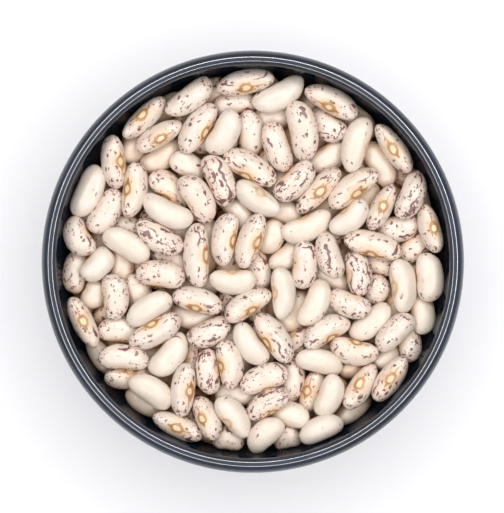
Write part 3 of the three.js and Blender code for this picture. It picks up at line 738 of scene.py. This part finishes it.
# ---- Node helpers ----
class NodeMaker:
    """Adds nodes to one tree. A value that feeds an input is a number, a colour or another node's output."""

    def __init__(self, tree):
        self.tree = tree

    def add(self, kind, inputs=None, **settings):
        node = self.tree.nodes.new(kind)
        for name, value in settings.items():
            setattr(node, name, value)
        for key, value in (inputs or {}).items():
            if isinstance(value, bpy.types.NodeSocket):
                self.tree.links.new(value, node.inputs[key])
            else:
                node.inputs[key].default_value = value
        return node

    def feed(self, ends, values):
        """Links each output in values to the input of that name."""
        for name, value in values.items():
            self.tree.links.new(value, ends[name])

    def math(self, operation, *values, clamp=False):
        node = self.add("ShaderNodeMath", dict(enumerate(values)), operation=operation, use_clamp=clamp)
        return node.outputs[0]

    def times(self, first, second):
        return self.math("MULTIPLY", first, second)

    def hypot(self, first, second):
        return self.math("SQRT", self.math("MULTIPLY_ADD", first, first, self.times(second, second)))

    def most(self, *values):
        result = values[0]
        for value in values[1:]:
            result = self.math("MAXIMUM", result, value)
        return result

    def vector(self, operation, *values):
        return self.add("ShaderNodeVectorMath", dict(enumerate(values)), operation=operation).outputs[0]

    def smooth(self, value, low, high):
        """A soft step from 0 at low to 1 at high; it falls instead where low is above high."""
        inputs = {"Value": value, "From Min": low, "From Max": high}
        return self.add("ShaderNodeMapRange", inputs, interpolation_type="SMOOTHSTEP").outputs[0]

    def mix(self, factor, first, second, **settings):
        node = self.add("ShaderNodeMix", {0: factor, 6: first, 7: second}, data_type="RGBA", **settings)
        return node.outputs[2]

    def tinted(self, colour, tint):
        return self.mix(1.0, colour, tint, blend_type="MULTIPLY")

    def noise(self, vector, scale, detail=2.0, roughness=0.5, output="Fac"):
        inputs = {"Vector": vector, "Scale": scale, "Detail": detail, "Roughness": roughness}
        return self.add("ShaderNodeTexNoise", inputs).outputs[output]

    def wobble(self, vector, scale, reach):
        """Noise as an offset to either side of 0 along each axis."""
        noise = self.noise(vector, scale, output="Color")
        return self.vector("MULTIPLY", self.vector("SUBTRACT", noise, (0.5, 0.5, 0.5)), reach)

    def shifted(self, vector, seed, reach):
        """The vector moved by an amount that differs from seed to seed, so that no two patterns are alike."""
        seeds = self.add("ShaderNodeCombineXYZ", {axis: seed for axis in range(3)}).outputs[0]
        return self.vector("ADD", vector, self.vector("MULTIPLY", seeds, reach))

    def attribute(self, name, output="Fac"):
        return self.add("ShaderNodeAttribute", attribute_name=name).outputs[output]

    def object_place(self):
        return self.add("ShaderNodeTexCoord").outputs["Object"]

    def parts(self, vector):
        """The x, y and z of a vector."""
        return tuple(self.add("ShaderNodeSeparateXYZ", {0: vector}).outputs)

    def group(self, tree, inputs):
        return self.add("ShaderNodeGroup", inputs, node_tree=tree).outputs


def new_group(name, inputs, outputs):
    """An empty shader node group with its sockets. Gives the maker, the inputs by name and the end node."""
    group = bpy.data.node_groups.new(name, "ShaderNodeTree")
    for label, kind, value in inputs:
        socket = group.interface.new_socket(label, in_out="INPUT", socket_type=kind)
        socket.default_value = value
    for label, kind in outputs:
        group.interface.new_socket(label, in_out="OUTPUT", socket_type=kind)
    make = NodeMaker(group)
    start = make.add("NodeGroupInput").outputs
    end = make.add("NodeGroupOutput").inputs
    return group, make, start, end


def new_material(name):
    """A material with its shader. Gives the material, its node maker and the shader's inputs."""
    material = bpy.data.materials.new(name)
    material.use_nodes = True
    shader = material.node_tree.nodes["Principled BSDF"]
    return material, NodeMaker(material.node_tree), shader.inputs


def colour4(colour):
    return (*colour, 1)


# ---- Shared effects ----
# Sizes and distances here are in millimetres on the bean, and the scale of a pattern is per millimetre.
def dots(make, place, scale, wanted, largest):
    """One dot in some cells of a Voronoi pattern, each of its own size, and the soft disc around it."""
    cells = make.add("ShaderNodeTexVoronoi", {"Vector": place, "Scale": scale}).outputs
    chance = make.add("ShaderNodeSeparateColor", {0: cells["Color"]}).outputs[0]
    size = make.math("SUBTRACT", wanted, chance, clamp=True)
    size = make.math("MINIMUM", make.math("MULTIPLY_ADD", size, 0.5, 0.12), largest)
    there = make.math("GREATER_THAN", wanted, chance)
    inside = make.smooth(cells["Distance"], make.math("ADD", size, 0.03), make.times(size, 0.75))
    near = make.smooth(cells["Distance"], make.math("ADD", size, 0.3), size)
    return make.times(inside, there), make.times(near, there)


def patches(make, noise, level):
    """Where noise is above a level, and the soft border around that."""
    inside = make.smooth(noise, level, make.math("ADD", level, 0.025))
    return inside, make.smooth(noise, make.math("SUBTRACT", level, 0.08), level)


def crescents(make, shifted, streaks, height, from_middle, from_spine):
    """Thin bands that follow the outline of the flat sides and fade towards the ends, and their border."""
    swing = make.math("SUBTRACT", make.noise(shifted, 0.3, detail=1), 0.5)
    route = make.math("MULTIPLY_ADD", swing, 4, 2.9)
    level = make.math("MULTIPLY_ADD", streaks, -0.16, 0.64)
    above = make.math("SUBTRACT", make.noise(shifted, 0.2, detail=1), level, clamp=True)
    half_width = make.math("MINIMUM", make.times(above, 4), 0.42)
    half_width = make.times(half_width, make.smooth(make.math("ABSOLUTE", height), 0.9, 1.7))
    half_width = make.times(half_width, make.smooth(from_middle, 7.2, 6.0))
    off_route = make.math("ABSOLUTE", make.math("SUBTRACT", from_spine, route))
    inside = make.smooth(off_route, half_width, make.math("SUBTRACT", half_width, 0.15))
    inside = make.times(inside, make.smooth(half_width, 0.08, 0.16))
    near = make.smooth(off_route, make.math("ADD", half_width, 0.8), half_width)
    return inside, make.times(near, make.smooth(half_width, 0.1, 0.3))


def marks_group():
    """Spots, pepper, blotches, streaks and crescents on a bean's skin, and the blush around them."""
    group, make, start, end = new_group(
        "Bean marks",
        [
            ("Local", "NodeSocketVector", (0, 0, 0)), ("Seed", "NodeSocketFloat", 0),
            ("Spots", "NodeSocketFloat", 0.5), ("Pepper", "NodeSocketFloat", 0.5),
            ("Streaks", "NodeSocketFloat", 0.0),
        ],
        [("Marks", "NodeSocketFloat"), ("Blush", "NodeSocketFloat")],
    )
    x, y, z = make.parts(start["Local"])
    shifted = make.shifted(start["Local"], start["Seed"], (3.1, 7.7, 5.3))
    bent = make.vector("ADD", shifted, make.wobble(shifted, 0.8, (2.5, 2, 2)))
    drawn_out = make.vector("MULTIPLY", bent, (0.68, 1, 1))
    lengthened = make.vector("MULTIPLY", drawn_out, (0.3, 0.85, 0.85))

    # Marks crowd at both ends and along the two narrow edges.
    from_middle = make.math("ABSOLUTE", x)
    past_spine = make.math("MAXIMUM", make.math("SUBTRACT", from_middle, 4), 0)
    from_spine = make.hypot(past_spine, y)
    ends = make.smooth(from_middle, 3.2, 7.0)
    edges = make.smooth(from_spine, 2.4, 3.8)
    crowd = make.math("MAXIMUM", ends, make.times(edges, 0.7))

    wanted = make.math("MULTIPLY_ADD", crowd, 0.3, start["Spots"])
    spots, near_spots = dots(make, drawn_out, scale=0.75, wanted=wanted, largest=0.38)
    wanted = make.times(crowd, start["Pepper"])
    pepper, near_pepper = dots(make, drawn_out, scale=1.15, wanted=wanted, largest=0.34)
    level = make.math("MULTIPLY_ADD", start["Spots"], -0.12, 0.76)
    level = make.math("MULTIPLY_ADD", crowd, -0.04, level)
    blotches, near_blotches = patches(make, make.noise(drawn_out, 0.8), level)
    level = make.math("MULTIPLY_ADD", start["Streaks"], -0.17, 0.8)
    streaks, near_streaks = patches(make, make.noise(lengthened, 1.0), level)
    bands, near_bands = crescents(make, shifted, start["Streaks"], z, from_middle, from_spine)

    # The large marks keep clear of the eye.
    apart = make.add("ShaderNodeVectorMath", {0: start["Local"], 1: EYE_PLACE}, operation="DISTANCE")
    clear = make.smooth(apart.outputs["Value"], 2.8, 4.2)
    large = make.times(make.most(blotches, streaks, bands), clear)
    near_dots = make.times(make.most(near_spots, near_pepper), 0.5)
    wash = make.times(make.smooth(make.noise(shifted, 0.28), 0.4, 0.62), crowd)
    wash = make.times(wash, start["Pepper"])
    make.feed(end, {
        "Marks": make.most(spots, make.times(pepper, 0.9), large),
        "Blush": make.most(near_dots, near_blotches, near_streaks, near_bands, wash),
    })
    return group


def eye_group():
    """The eye in the middle of a bean's hollow side: its pad, the ring round it, the glow and the seam."""
    group, make, start, end = new_group(
        "Bean eye",
        [("Local", "NodeSocketVector", (0, 0, 0)), ("Seed", "NodeSocketFloat", 0)],
        [
            ("Pad", "NodeSocketFloat"), ("Ring", "NodeSocketFloat"), ("Glow", "NodeSocketFloat"),
            ("Seam", "NodeSocketFloat"),
        ],
    )
    shifted = make.vector("ADD", start["Local"], start["Seed"])
    swayed = make.vector("ADD", start["Local"], make.wobble(shifted, 0.45, (1.6, 0, 0.9)))
    x, y, z = make.parts(swayed)
    front = make.smooth(y, 0.6, 2.2)
    off_middle = make.math("ABSOLUTE", z)

    def oval(half_x, half_z):
        return make.hypot(make.math("DIVIDE", x, half_x), make.math("DIVIDE", z, half_z))

    # The ring runs out into a point at both ends of the eye, and is darkest there, more so at one end.
    half_long = make.math("MAXIMUM", make.math("DIVIDE", x, 3.0), make.math("DIVIDE", x, -2.4))
    lozenge = make.math("ADD", half_long, make.math("DIVIDE", off_middle, 1.25))
    outline = make.math("MINIMUM", lozenge, oval(2.0, 1.4))
    dark = make.most(make.smooth(x, 0.9, 1.7), make.times(make.smooth(x, -1.2, -2.0), 0.6))
    patchy = make.smooth(make.noise(shifted, 0.7, detail=1), 0.35, 0.6)
    depth = make.math("MULTIPLY_ADD", patchy, 0.1, make.math("MULTIPLY_ADD", dark, 0.2, 0.7))
    seam = make.times(make.smooth(off_middle, 0.35, 0.1), make.smooth(x, -1.4, -2.4))
    wide_glow = make.times(make.smooth(oval(6.0, 3.8), 1.0, 0.35), 0.42)
    make.feed(end, {name: make.times(value, front) for name, value in {
        "Pad": make.smooth(oval(1.15, 0.8), 1.1, 0.8),
        "Ring": make.times(make.smooth(outline, 1.2, 0.9), depth),
        "Glow": make.math("MULTIPLY_ADD", make.smooth(oval(3.6, 2.3), 1.0, 0.5), 0.58, wide_glow),
        "Seam": make.times(seam, make.smooth(x, -6.2, -4.0)),
    }.items()})
    return group


def skin_group():
    """Slow differences in the skin's colour, its fine wrinkles and how its gloss varies."""
    group, make, start, end = new_group(
        "Bean skin",
        [
            ("Local", "NodeSocketVector", (0, 0, 0)), ("Seed", "NodeSocketFloat", 0),
            ("Tint", "NodeSocketFloat", 0.5), ("Colour", "NodeSocketColor", WHITE),
        ],
        [("Colour", "NodeSocketColor"), ("Roughness", "NodeSocketFloat"), ("Height", "NodeSocketFloat")],
    )
    shifted = make.shifted(start["Local"], start["Seed"], (5.0, 9.0, 2.0))
    clouds = make.smooth(make.noise(shifted, 0.22, detail=3), 0.36, 0.64)
    mottles = make.smooth(make.noise(shifted, 1.7, detail=3), 0.35, 0.65)
    # From bean to bean the skin runs from greyish to warm, and each has faint clouds and mottles of its own.
    colour = start["Colour"]
    colour = make.tinted(colour, make.mix(start["Tint"], (0.965, 0.965, 0.965, 1), (1.0, 0.975, 0.935, 1)))
    colour = make.tinted(colour, make.mix(clouds, (0.955, 0.94, 0.915, 1), WHITE))
    colour = make.tinted(colour, make.mix(mottles, (0.965, 0.955, 0.945, 1), WHITE))
    drawn_out = make.vector("MULTIPLY", shifted, (0.7, 1.3, 1.3))
    grain = make.noise(drawn_out, 1.6, detail=4, roughness=0.6)
    make.feed(end, {
        "Colour": colour,
        "Roughness": make.math("MULTIPLY_ADD", grain, 0.2, 0.3),
        "Height": make.math("MULTIPLY_ADD", make.noise(shifted, 7.0), 0.25, grain),
    })
    return group


# ---- Materials ----
def bean_material(look, groups, colours):
    """Skin of one kind of bean. The looks differ in how thickly the marks lie."""
    plain = look == "plain"
    spots, pepper, streaks = LOOK_MARKS[look]
    eye_strength, pad_strength, blush_strength = (0.5, 0.7, 0.1) if plain else (1.0, 0.92, 0.4)
    material, make, shader = new_material("bean_" + look)
    local, seed = make.attribute("local", "Vector"), make.attribute("seed")
    skin = make.group(groups["skin"], {
        "Local": local, "Seed": seed, "Tint": make.attribute("tint"),
        "Colour": colour4(colours.cream if plain else colours.pale),
    })
    marks = make.group(groups["marks"], {
        "Local": local, "Seed": seed, "Spots": spots, "Pepper": pepper, "Streaks": streaks,
    })
    eye = make.group(groups["eye"], {"Local": local, "Seed": seed})
    free = make.math("SUBTRACT", 0.93, make.math("MAXIMUM", eye["Ring"], eye["Pad"]), clamp=True)
    colour = skin["Colour"]
    for amount, paint in (
        (make.times(marks["Blush"], blush_strength), colours.blush),
        (make.times(eye["Glow"], 0.8 * eye_strength), colours.eye_glow),
        (make.times(marks["Marks"], free), colours.marks),
        (make.times(eye["Seam"], 0.6 * eye_strength), colours.eye_ring),
        (make.times(eye["Ring"], eye_strength), colours.eye_ring),
        (make.times(eye["Pad"], pad_strength), colours.eye),
    ):
        colour = make.mix(amount, colour, colour4(paint))
    # Painted shade: deep down between the beans, where the light comes by way of their skins, the skin's
    # colour is multiplied towards the shade colour, so it is darker and fuller.
    height = make.parts(make.object_place())[2]
    deep = make.smooth(height, HEAP_LEVEL + FULL_LIGHT_ABOVE, HEAP_LEVEL - FULL_SHADE_BELOW)
    colour = make.tinted(colour, make.mix(deep, WHITE, colour4(colours.shade)))
    bump = make.add("ShaderNodeBump", {"Strength": 0.35, "Distance": 0.12 * MM, "Height": skin["Height"]})
    make.feed(shader, {"Base Color": colour, "Roughness": skin["Roughness"], "Normal": bump.outputs[0]})
    shader["Subsurface Weight"].default_value = 0.2
    shader["Subsurface Radius"].default_value = (1.0, 0.55, 0.35)
    shader["Subsurface Scale"].default_value = 1.2 * MM
    shader["Specular IOR Level"].default_value = 0.45
    return material


def core_material():
    """Painted shade: the deep shade between the lowest beans, dark brown and darkest at the cells' borders.
    """
    material, make, shader = new_material("bean_core")
    cells = make.add(
        "ShaderNodeTexVoronoi", {"Vector": make.object_place(), "Scale": 110.0}, feature="SMOOTH_F1",
    )
    # Painted shade: darker away from the cells' middles, like crevices between beans.
    shade = make.smooth(cells.outputs["Distance"], 0.2, 0.8)
    colour = make.mix(shade, (0.42, 0.27, 0.16, 1), (0.12, 0.06, 0.03, 1))
    bump = make.add("ShaderNodeBump", {"Strength": 0.8, "Distance": 2 * MM, "Height": shade}, invert=True)
    make.feed(shader, {"Base Color": colour, "Normal": bump.outputs[0]})
    shader["Roughness"].default_value = 0.6
    return material


def glaze_material(bowl):
    """Dark glossy glaze with a faint ripple, and bare clay where the foot ring stands."""
    material, make, shader = new_material("bowl_glaze")
    place = make.object_place()
    # The glaze ends just above the foot ring's face, along an uneven edge.
    edge = make.math("MULTIPLY_ADD", make.noise(place, 900.0, detail=3), 0.3 * MM, make.parts(place)[2])
    bare = make.smooth(edge, 0.9 * MM, 0.6 * MM)
    clouds = make.noise(place, 60.0, detail=3)
    deep, light = ([share * channel for channel in bowl.glaze] for share in (0.75, 1.25))
    glaze = make.mix(make.smooth(clouds, 0.3, 0.7), colour4(deep), colour4(light))
    gloss = make.math("MULTIPLY_ADD", clouds, 0.05, 0.05)
    grit = make.times(make.noise(place, 3000.0), bare)
    relief = make.math("MULTIPLY_ADD", grit, 8.0, make.noise(place, 220.0))
    bump = make.add("ShaderNodeBump", {"Strength": 0.03, "Distance": 0.08 * MM, "Height": relief})
    make.feed(shader, {
        "Base Color": make.mix(bare, glaze, colour4(bowl.clay)),
        "Roughness": make.math("MULTIPLY_ADD", bare, 0.7, gloss),
        "Normal": bump.outputs[0],
    })
    shader["Specular IOR Level"].default_value = 0.7
    return material


def floor_material(stage):
    """Pale matt floor with faint clouds."""
    material, make, shader = new_material("floor")
    darker = [0.985 * channel for channel in stage.floor]
    colour = make.mix(make.noise(make.object_place(), 3.0), colour4(stage.floor), colour4(darker))
    make.feed(shader, {"Base Color": colour})
    shader["Roughness"].default_value = 0.7
    return material


# ---- Pieces ----
def add_piece(mesh, name, node):
    """Puts a finished mesh into the scene on the part's body, in place of a solid."""
    piece = bpy.data.objects.new(name, mesh)
    bpy.context.scene.collection.objects.link(piece)
    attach(piece, "root")
    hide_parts(node)


def scatter_tree():
    """Geometry nodes that put a bean shape on each point, dent its skin and make it one mesh."""
    tree = bpy.data.node_groups.new("Beans on points", "GeometryNodeTree")
    tree.is_modifier = True
    sockets = {}
    for label, kind, way in (
        ("Geometry", "NodeSocketGeometry", "INPUT"), ("Shapes", "NodeSocketCollection", "INPUT"),
        ("Skin", "NodeSocketMaterial", "INPUT"), ("Dent Depth", "NodeSocketFloat", "INPUT"),
        ("Dent Scale", "NodeSocketFloat", "INPUT"), ("Geometry", "NodeSocketGeometry", "OUTPUT"),
    ):
        sockets[way, label] = tree.interface.new_socket(label, in_out=way, socket_type=kind).identifier
    make = NodeMaker(tree)
    start = make.add("NodeGroupInput").outputs

    def named(attribute, kind):
        node = make.add("GeometryNodeInputNamedAttribute", {"Name": attribute}, data_type=kind)
        return node.outputs["Attribute"]

    shapes = make.add("GeometryNodeCollectionInfo", {
        "Collection": start["Shapes"], "Separate Children": True, "Reset Children": True,
    })
    turn = make.add("FunctionNodeEulerToRotation", {0: named("turn", "FLOAT_VECTOR")})
    beans = make.add("GeometryNodeInstanceOnPoints", {
        "Points": start["Geometry"], "Instance": shapes.outputs[0], "Pick Instance": True,
        "Instance Index": named("shape", "INT"), "Rotation": turn.outputs[0],
        "Scale": named("size", "FLOAT_VECTOR"),
    })
    real = make.add("GeometryNodeRealizeInstances", {0: beans.outputs[0]})
    waves = make.add("ShaderNodeTexNoise", {
        "Vector": named("local", "FLOAT_VECTOR"), "W": named("seed", "FLOAT"), "Scale": start["Dent Scale"],
        "Detail": 1.0,
    }, noise_dimensions="4D")
    swing = make.math("SUBTRACT", waves.outputs[0], 0.5)
    depth = make.times(swing, start["Dent Depth"])
    normal = make.add("GeometryNodeInputNormal").outputs[0]
    offset = make.add("ShaderNodeVectorMath", {0: normal, "Scale": depth}, operation="SCALE").outputs[0]
    dented = make.add("GeometryNodeSetPosition", {"Geometry": real.outputs[0], "Offset": offset})
    smooth = make.add("GeometryNodeSetShadeSmooth", {0: dented.outputs[0]})
    skin = make.add("GeometryNodeSetMaterial", {"Geometry": smooth.outputs[0], "Material": start["Skin"]})
    make.add("NodeGroupOutput", {0: skin.outputs[0]})
    return tree, sockets


def scattered_mesh(name, rows, tree, sockets, shapes, material, depth):
    """One joined mesh of the beans in rows, each a dictionary with its place, turn, size and traits."""
    mesh = bpy.data.meshes.new(name)
    mesh.from_pydata([row["middle"] for row in rows], [], [])
    for key, kind in TRAITS.items():
        attribute = mesh.attributes.new(key, kind, "POINT")
        values = np.array([row[key] for row in rows]).ravel()
        attribute.data.foreach_set("vector" if kind == "FLOAT_VECTOR" else "value", values)
    points = bpy.data.objects.new(name + "_points", mesh)
    bpy.context.scene.collection.objects.link(points)
    modifier = points.modifiers.new("Beans on points", "NODES")
    modifier.node_group = tree
    inputs = {"Shapes": shapes, "Skin": material, "Dent Depth": depth, "Dent Scale": DENT_SCALE}
    for label, value in inputs.items():
        modifier[sockets["INPUT", label]] = value
    depsgraph = bpy.context.evaluated_depsgraph_get()
    result = bpy.data.meshes.new_from_object(points.evaluated_get(depsgraph), depsgraph=depsgraph)
    result.name = name
    points.modifiers.clear()
    bpy.data.objects.remove(points)
    for key in ("turn", "size", "shape"):
        if key in result.attributes:
            result.attributes.remove(result.attributes[key])
    return result


def bean_rows(beans, frames):
    """Place, turn, size and traits of every bean, for the points that carry them."""
    draw = seeded_draws(LOOK_SEED)
    rows = []
    for bean, along, to_eye, flat, middle in zip(beans, *frames):
        chance = draw(0, 1)
        look = bean["look"] or next(name for name, top in zip(LOOKS, LOOK_CHANCES) if chance <= top)
        if draw(0, 1) < 0.5:
            along, flat = -along, -flat
        turn = Matrix((along, to_eye, flat)).transposed().to_euler()
        size = np.array([bean["length"], bean["width"], bean["thickness"]]) / SHAPE_SIZE
        rows.append({
            "look": look, "middle": middle, "turn": tuple(turn), "size": size,
            "shape": int(draw(0, len(SHAPES) - TOP_DRAW_ROOM)), "seed": draw(0, 100), "tint": draw(0, 1),
        })
    return rows


class OBJECT_OT_make_bowl(bpy.types.Operator):
    """Make the glazed bowl with its rolled lip and foot ring"""

    bl_idname = "object.make_bowl"
    bl_label = "Make bowl"

    def execute(self, context):
        bowl = context.scene.bowl_settings
        mesh = turned_mesh("bowl_glazed", bowl_profile(bowl), BOWL_SEGMENTS)
        mesh.materials.append(glaze_material(bowl))
        add_piece(mesh, "bowl_glazed", "bowl")
        return {"FINISHED"}


class OBJECT_OT_make_beans(bpy.types.Operator):
    """Make the heap of beans, one mesh for each look, and the core under them"""

    bl_idname = "object.make_beans"
    bl_label = "Make beans"

    def execute(self, context):
        bowl, colours = context.scene.bowl_settings, context.scene.bean_settings
        beans = lay_out(bowl)
        rows = bean_rows(beans, settle(beans, bowl))
        groups = {"skin": skin_group(), "marks": marks_group(), "eye": eye_group()}
        shapes = bpy.data.collections.new("bean_shapes")
        for index, shape in enumerate(SHAPES):
            mesh = bean_shape(f"bean_shape_{index}", *shape, colours.rings, colours.sides)
            shapes.objects.link(bpy.data.objects.new(mesh.name, mesh))
        tree, sockets = scatter_tree()
        for look in LOOKS:
            name = "beans_" + look
            material = bean_material(look, groups, colours)
            wanted = [row for row in rows if row["look"] == look]
            mesh = scattered_mesh(name, wanted, tree, sockets, shapes, material, colours.dent_depth)
            add_piece(mesh, name, "beans")
        for shape in list(shapes.objects):
            bpy.data.objects.remove(shape)
        bpy.data.collections.remove(shapes)
        # The core under the beans is coloured as painted shade.
        mesh = turned_mesh("beans_core", core_profile(bowl), CORE_SEGMENTS)
        mesh.materials.append(core_material())
        add_piece(mesh, "beans_core", "beans")
        return {"FINISHED"}


def add_soft_box(name, power, size, distance, slope, bearing):
    """An area light that faces the origin. Its slope from the vertical and its bearing are in degrees."""
    data = bpy.data.lights.new(name, "AREA")
    data.energy = power
    data.shape = "RECTANGLE"
    data.size, data.size_y = size
    light = bpy.data.objects.new(name, data)
    direction = Vector((0, 0, 1))
    direction.rotate(Matrix.Rotation(math.radians(slope), 3, "Y"))
    direction.rotate(Matrix.Rotation(math.radians(bearing), 3, "Z"))
    light.location = direction * distance
    light.rotation_euler = direction.to_track_quat("Z", "Y").to_euler()
    bpy.context.scene.collection.objects.link(light)
    return light


class OBJECT_OT_make_stage(bpy.types.Operator):
    """Make the floor, the soft lights all round and the camera that looks straight down"""

    bl_idname = "object.make_stage"
    bl_label = "Make stage"

    def execute(self, context):
        scene, stage = context.scene, context.scene.stage_settings
        bowl = scene.bowl_settings
        corners = [(x * FLOOR_HALF, y * FLOOR_HALF, 0) for x, y in ((-1, -1), (1, -1), (1, 1), (-1, 1))]
        mesh = bpy.data.meshes.new("floor")
        mesh.from_pydata(corners, [], [(0, 1, 2, 3)])
        mesh.materials.append(floor_material(stage))
        floor = bpy.data.objects.new("floor", mesh)
        scene.collection.objects.link(floor)

        world = bpy.data.worlds.new("studio")
        world.use_nodes = True
        background = world.node_tree.nodes["Background"]
        background.inputs["Color"].default_value = colour4(FILL_COLOUR)
        background.inputs["Strength"].default_value = stage.fill
        scene.world = world
        scene.view_settings.view_transform = "Standard"

        # A wide soft box above the camera, a ring of narrow ones, and a ring that only the gloss shows.
        add_soft_box("soft_box_above", stage.overhead, OVERHEAD_SIZE, OVERHEAD_DISTANCE, 0, 0)
        for index in range(RING_BOXES):
            bearing = 360 * index / RING_BOXES
            away = (1 - math.cos(math.radians(bearing - BRIGHTEST_BEARING))) / 2
            share = 1 - RING_DIMMING * away
            add_soft_box(
                f"soft_box_{index}", stage.light * share, RING_SIZE, RING_DISTANCE, RING_SLOPE, bearing,
            )
            shine = add_soft_box(
                f"shine_{index}", stage.shine * share, SHINE_SIZE, SHINE_DISTANCE, RING_SLOPE, bearing,
            )
            shine.visible_diffuse = False

        camera_data = bpy.data.cameras.new("camera")
        camera_data.sensor_fit = "HORIZONTAL"
        pixels_per_metre = RIM_RADIUS_PIXELS / bowl.radius
        rim_distance = stage.camera_height - (bowl.height - bowl.lip_outer_drop)
        view_width = FRAME_WIDTH / pixels_per_metre
        camera_data.lens = camera_data.sensor_width * rim_distance / view_width
        camera = bpy.data.objects.new("camera", camera_data)
        camera.location = (
            (FRAME_WIDTH / 2 - RIM_CENTRE[0]) / pixels_per_metre,
            (RIM_CENTRE[1] - FRAME_HEIGHT / 2) / pixels_per_metre,
            stage.camera_height,
        )
        scene.collection.objects.link(camera)
        scene.camera = camera
        return {"FINISHED"}


class VIEW3D_PT_beans(bpy.types.Panel):
    """Lists the steps that make the bowl of beans"""

    bl_label = "Bowl of dried beans"
    bl_space_type = "VIEW_3D"
    bl_region_type = "UI"
    bl_category = "Beans"

    def draw(self, context):
        for operator in (OBJECT_OT_make_bowl, OBJECT_OT_make_beans, OBJECT_OT_make_stage):
            self.layout.operator(operator.bl_idname)


CLASSES = (
    BowlSettings, BeanSettings, StageSettings,
    OBJECT_OT_make_bowl, OBJECT_OT_make_beans, OBJECT_OT_make_stage, VIEW3D_PT_beans,
)


def register():
    for entry in CLASSES:
        bpy.utils.register_class(entry)
    bpy.types.Scene.bowl_settings = PointerProperty(type=BowlSettings)
    bpy.types.Scene.bean_settings = PointerProperty(type=BeanSettings)
    bpy.types.Scene.stage_settings = PointerProperty(type=StageSettings)


def unregister():
    del bpy.types.Scene.stage_settings
    del bpy.types.Scene.bean_settings
    del bpy.types.Scene.bowl_settings
    for entry in reversed(CLASSES):
        bpy.utils.unregister_class(entry)


def main():
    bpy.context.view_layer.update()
    register()
    bpy.ops.object.make_stage()
    bpy.ops.object.make_bowl()
    bpy.ops.object.make_beans()


if __name__ == "__main__":
    main()
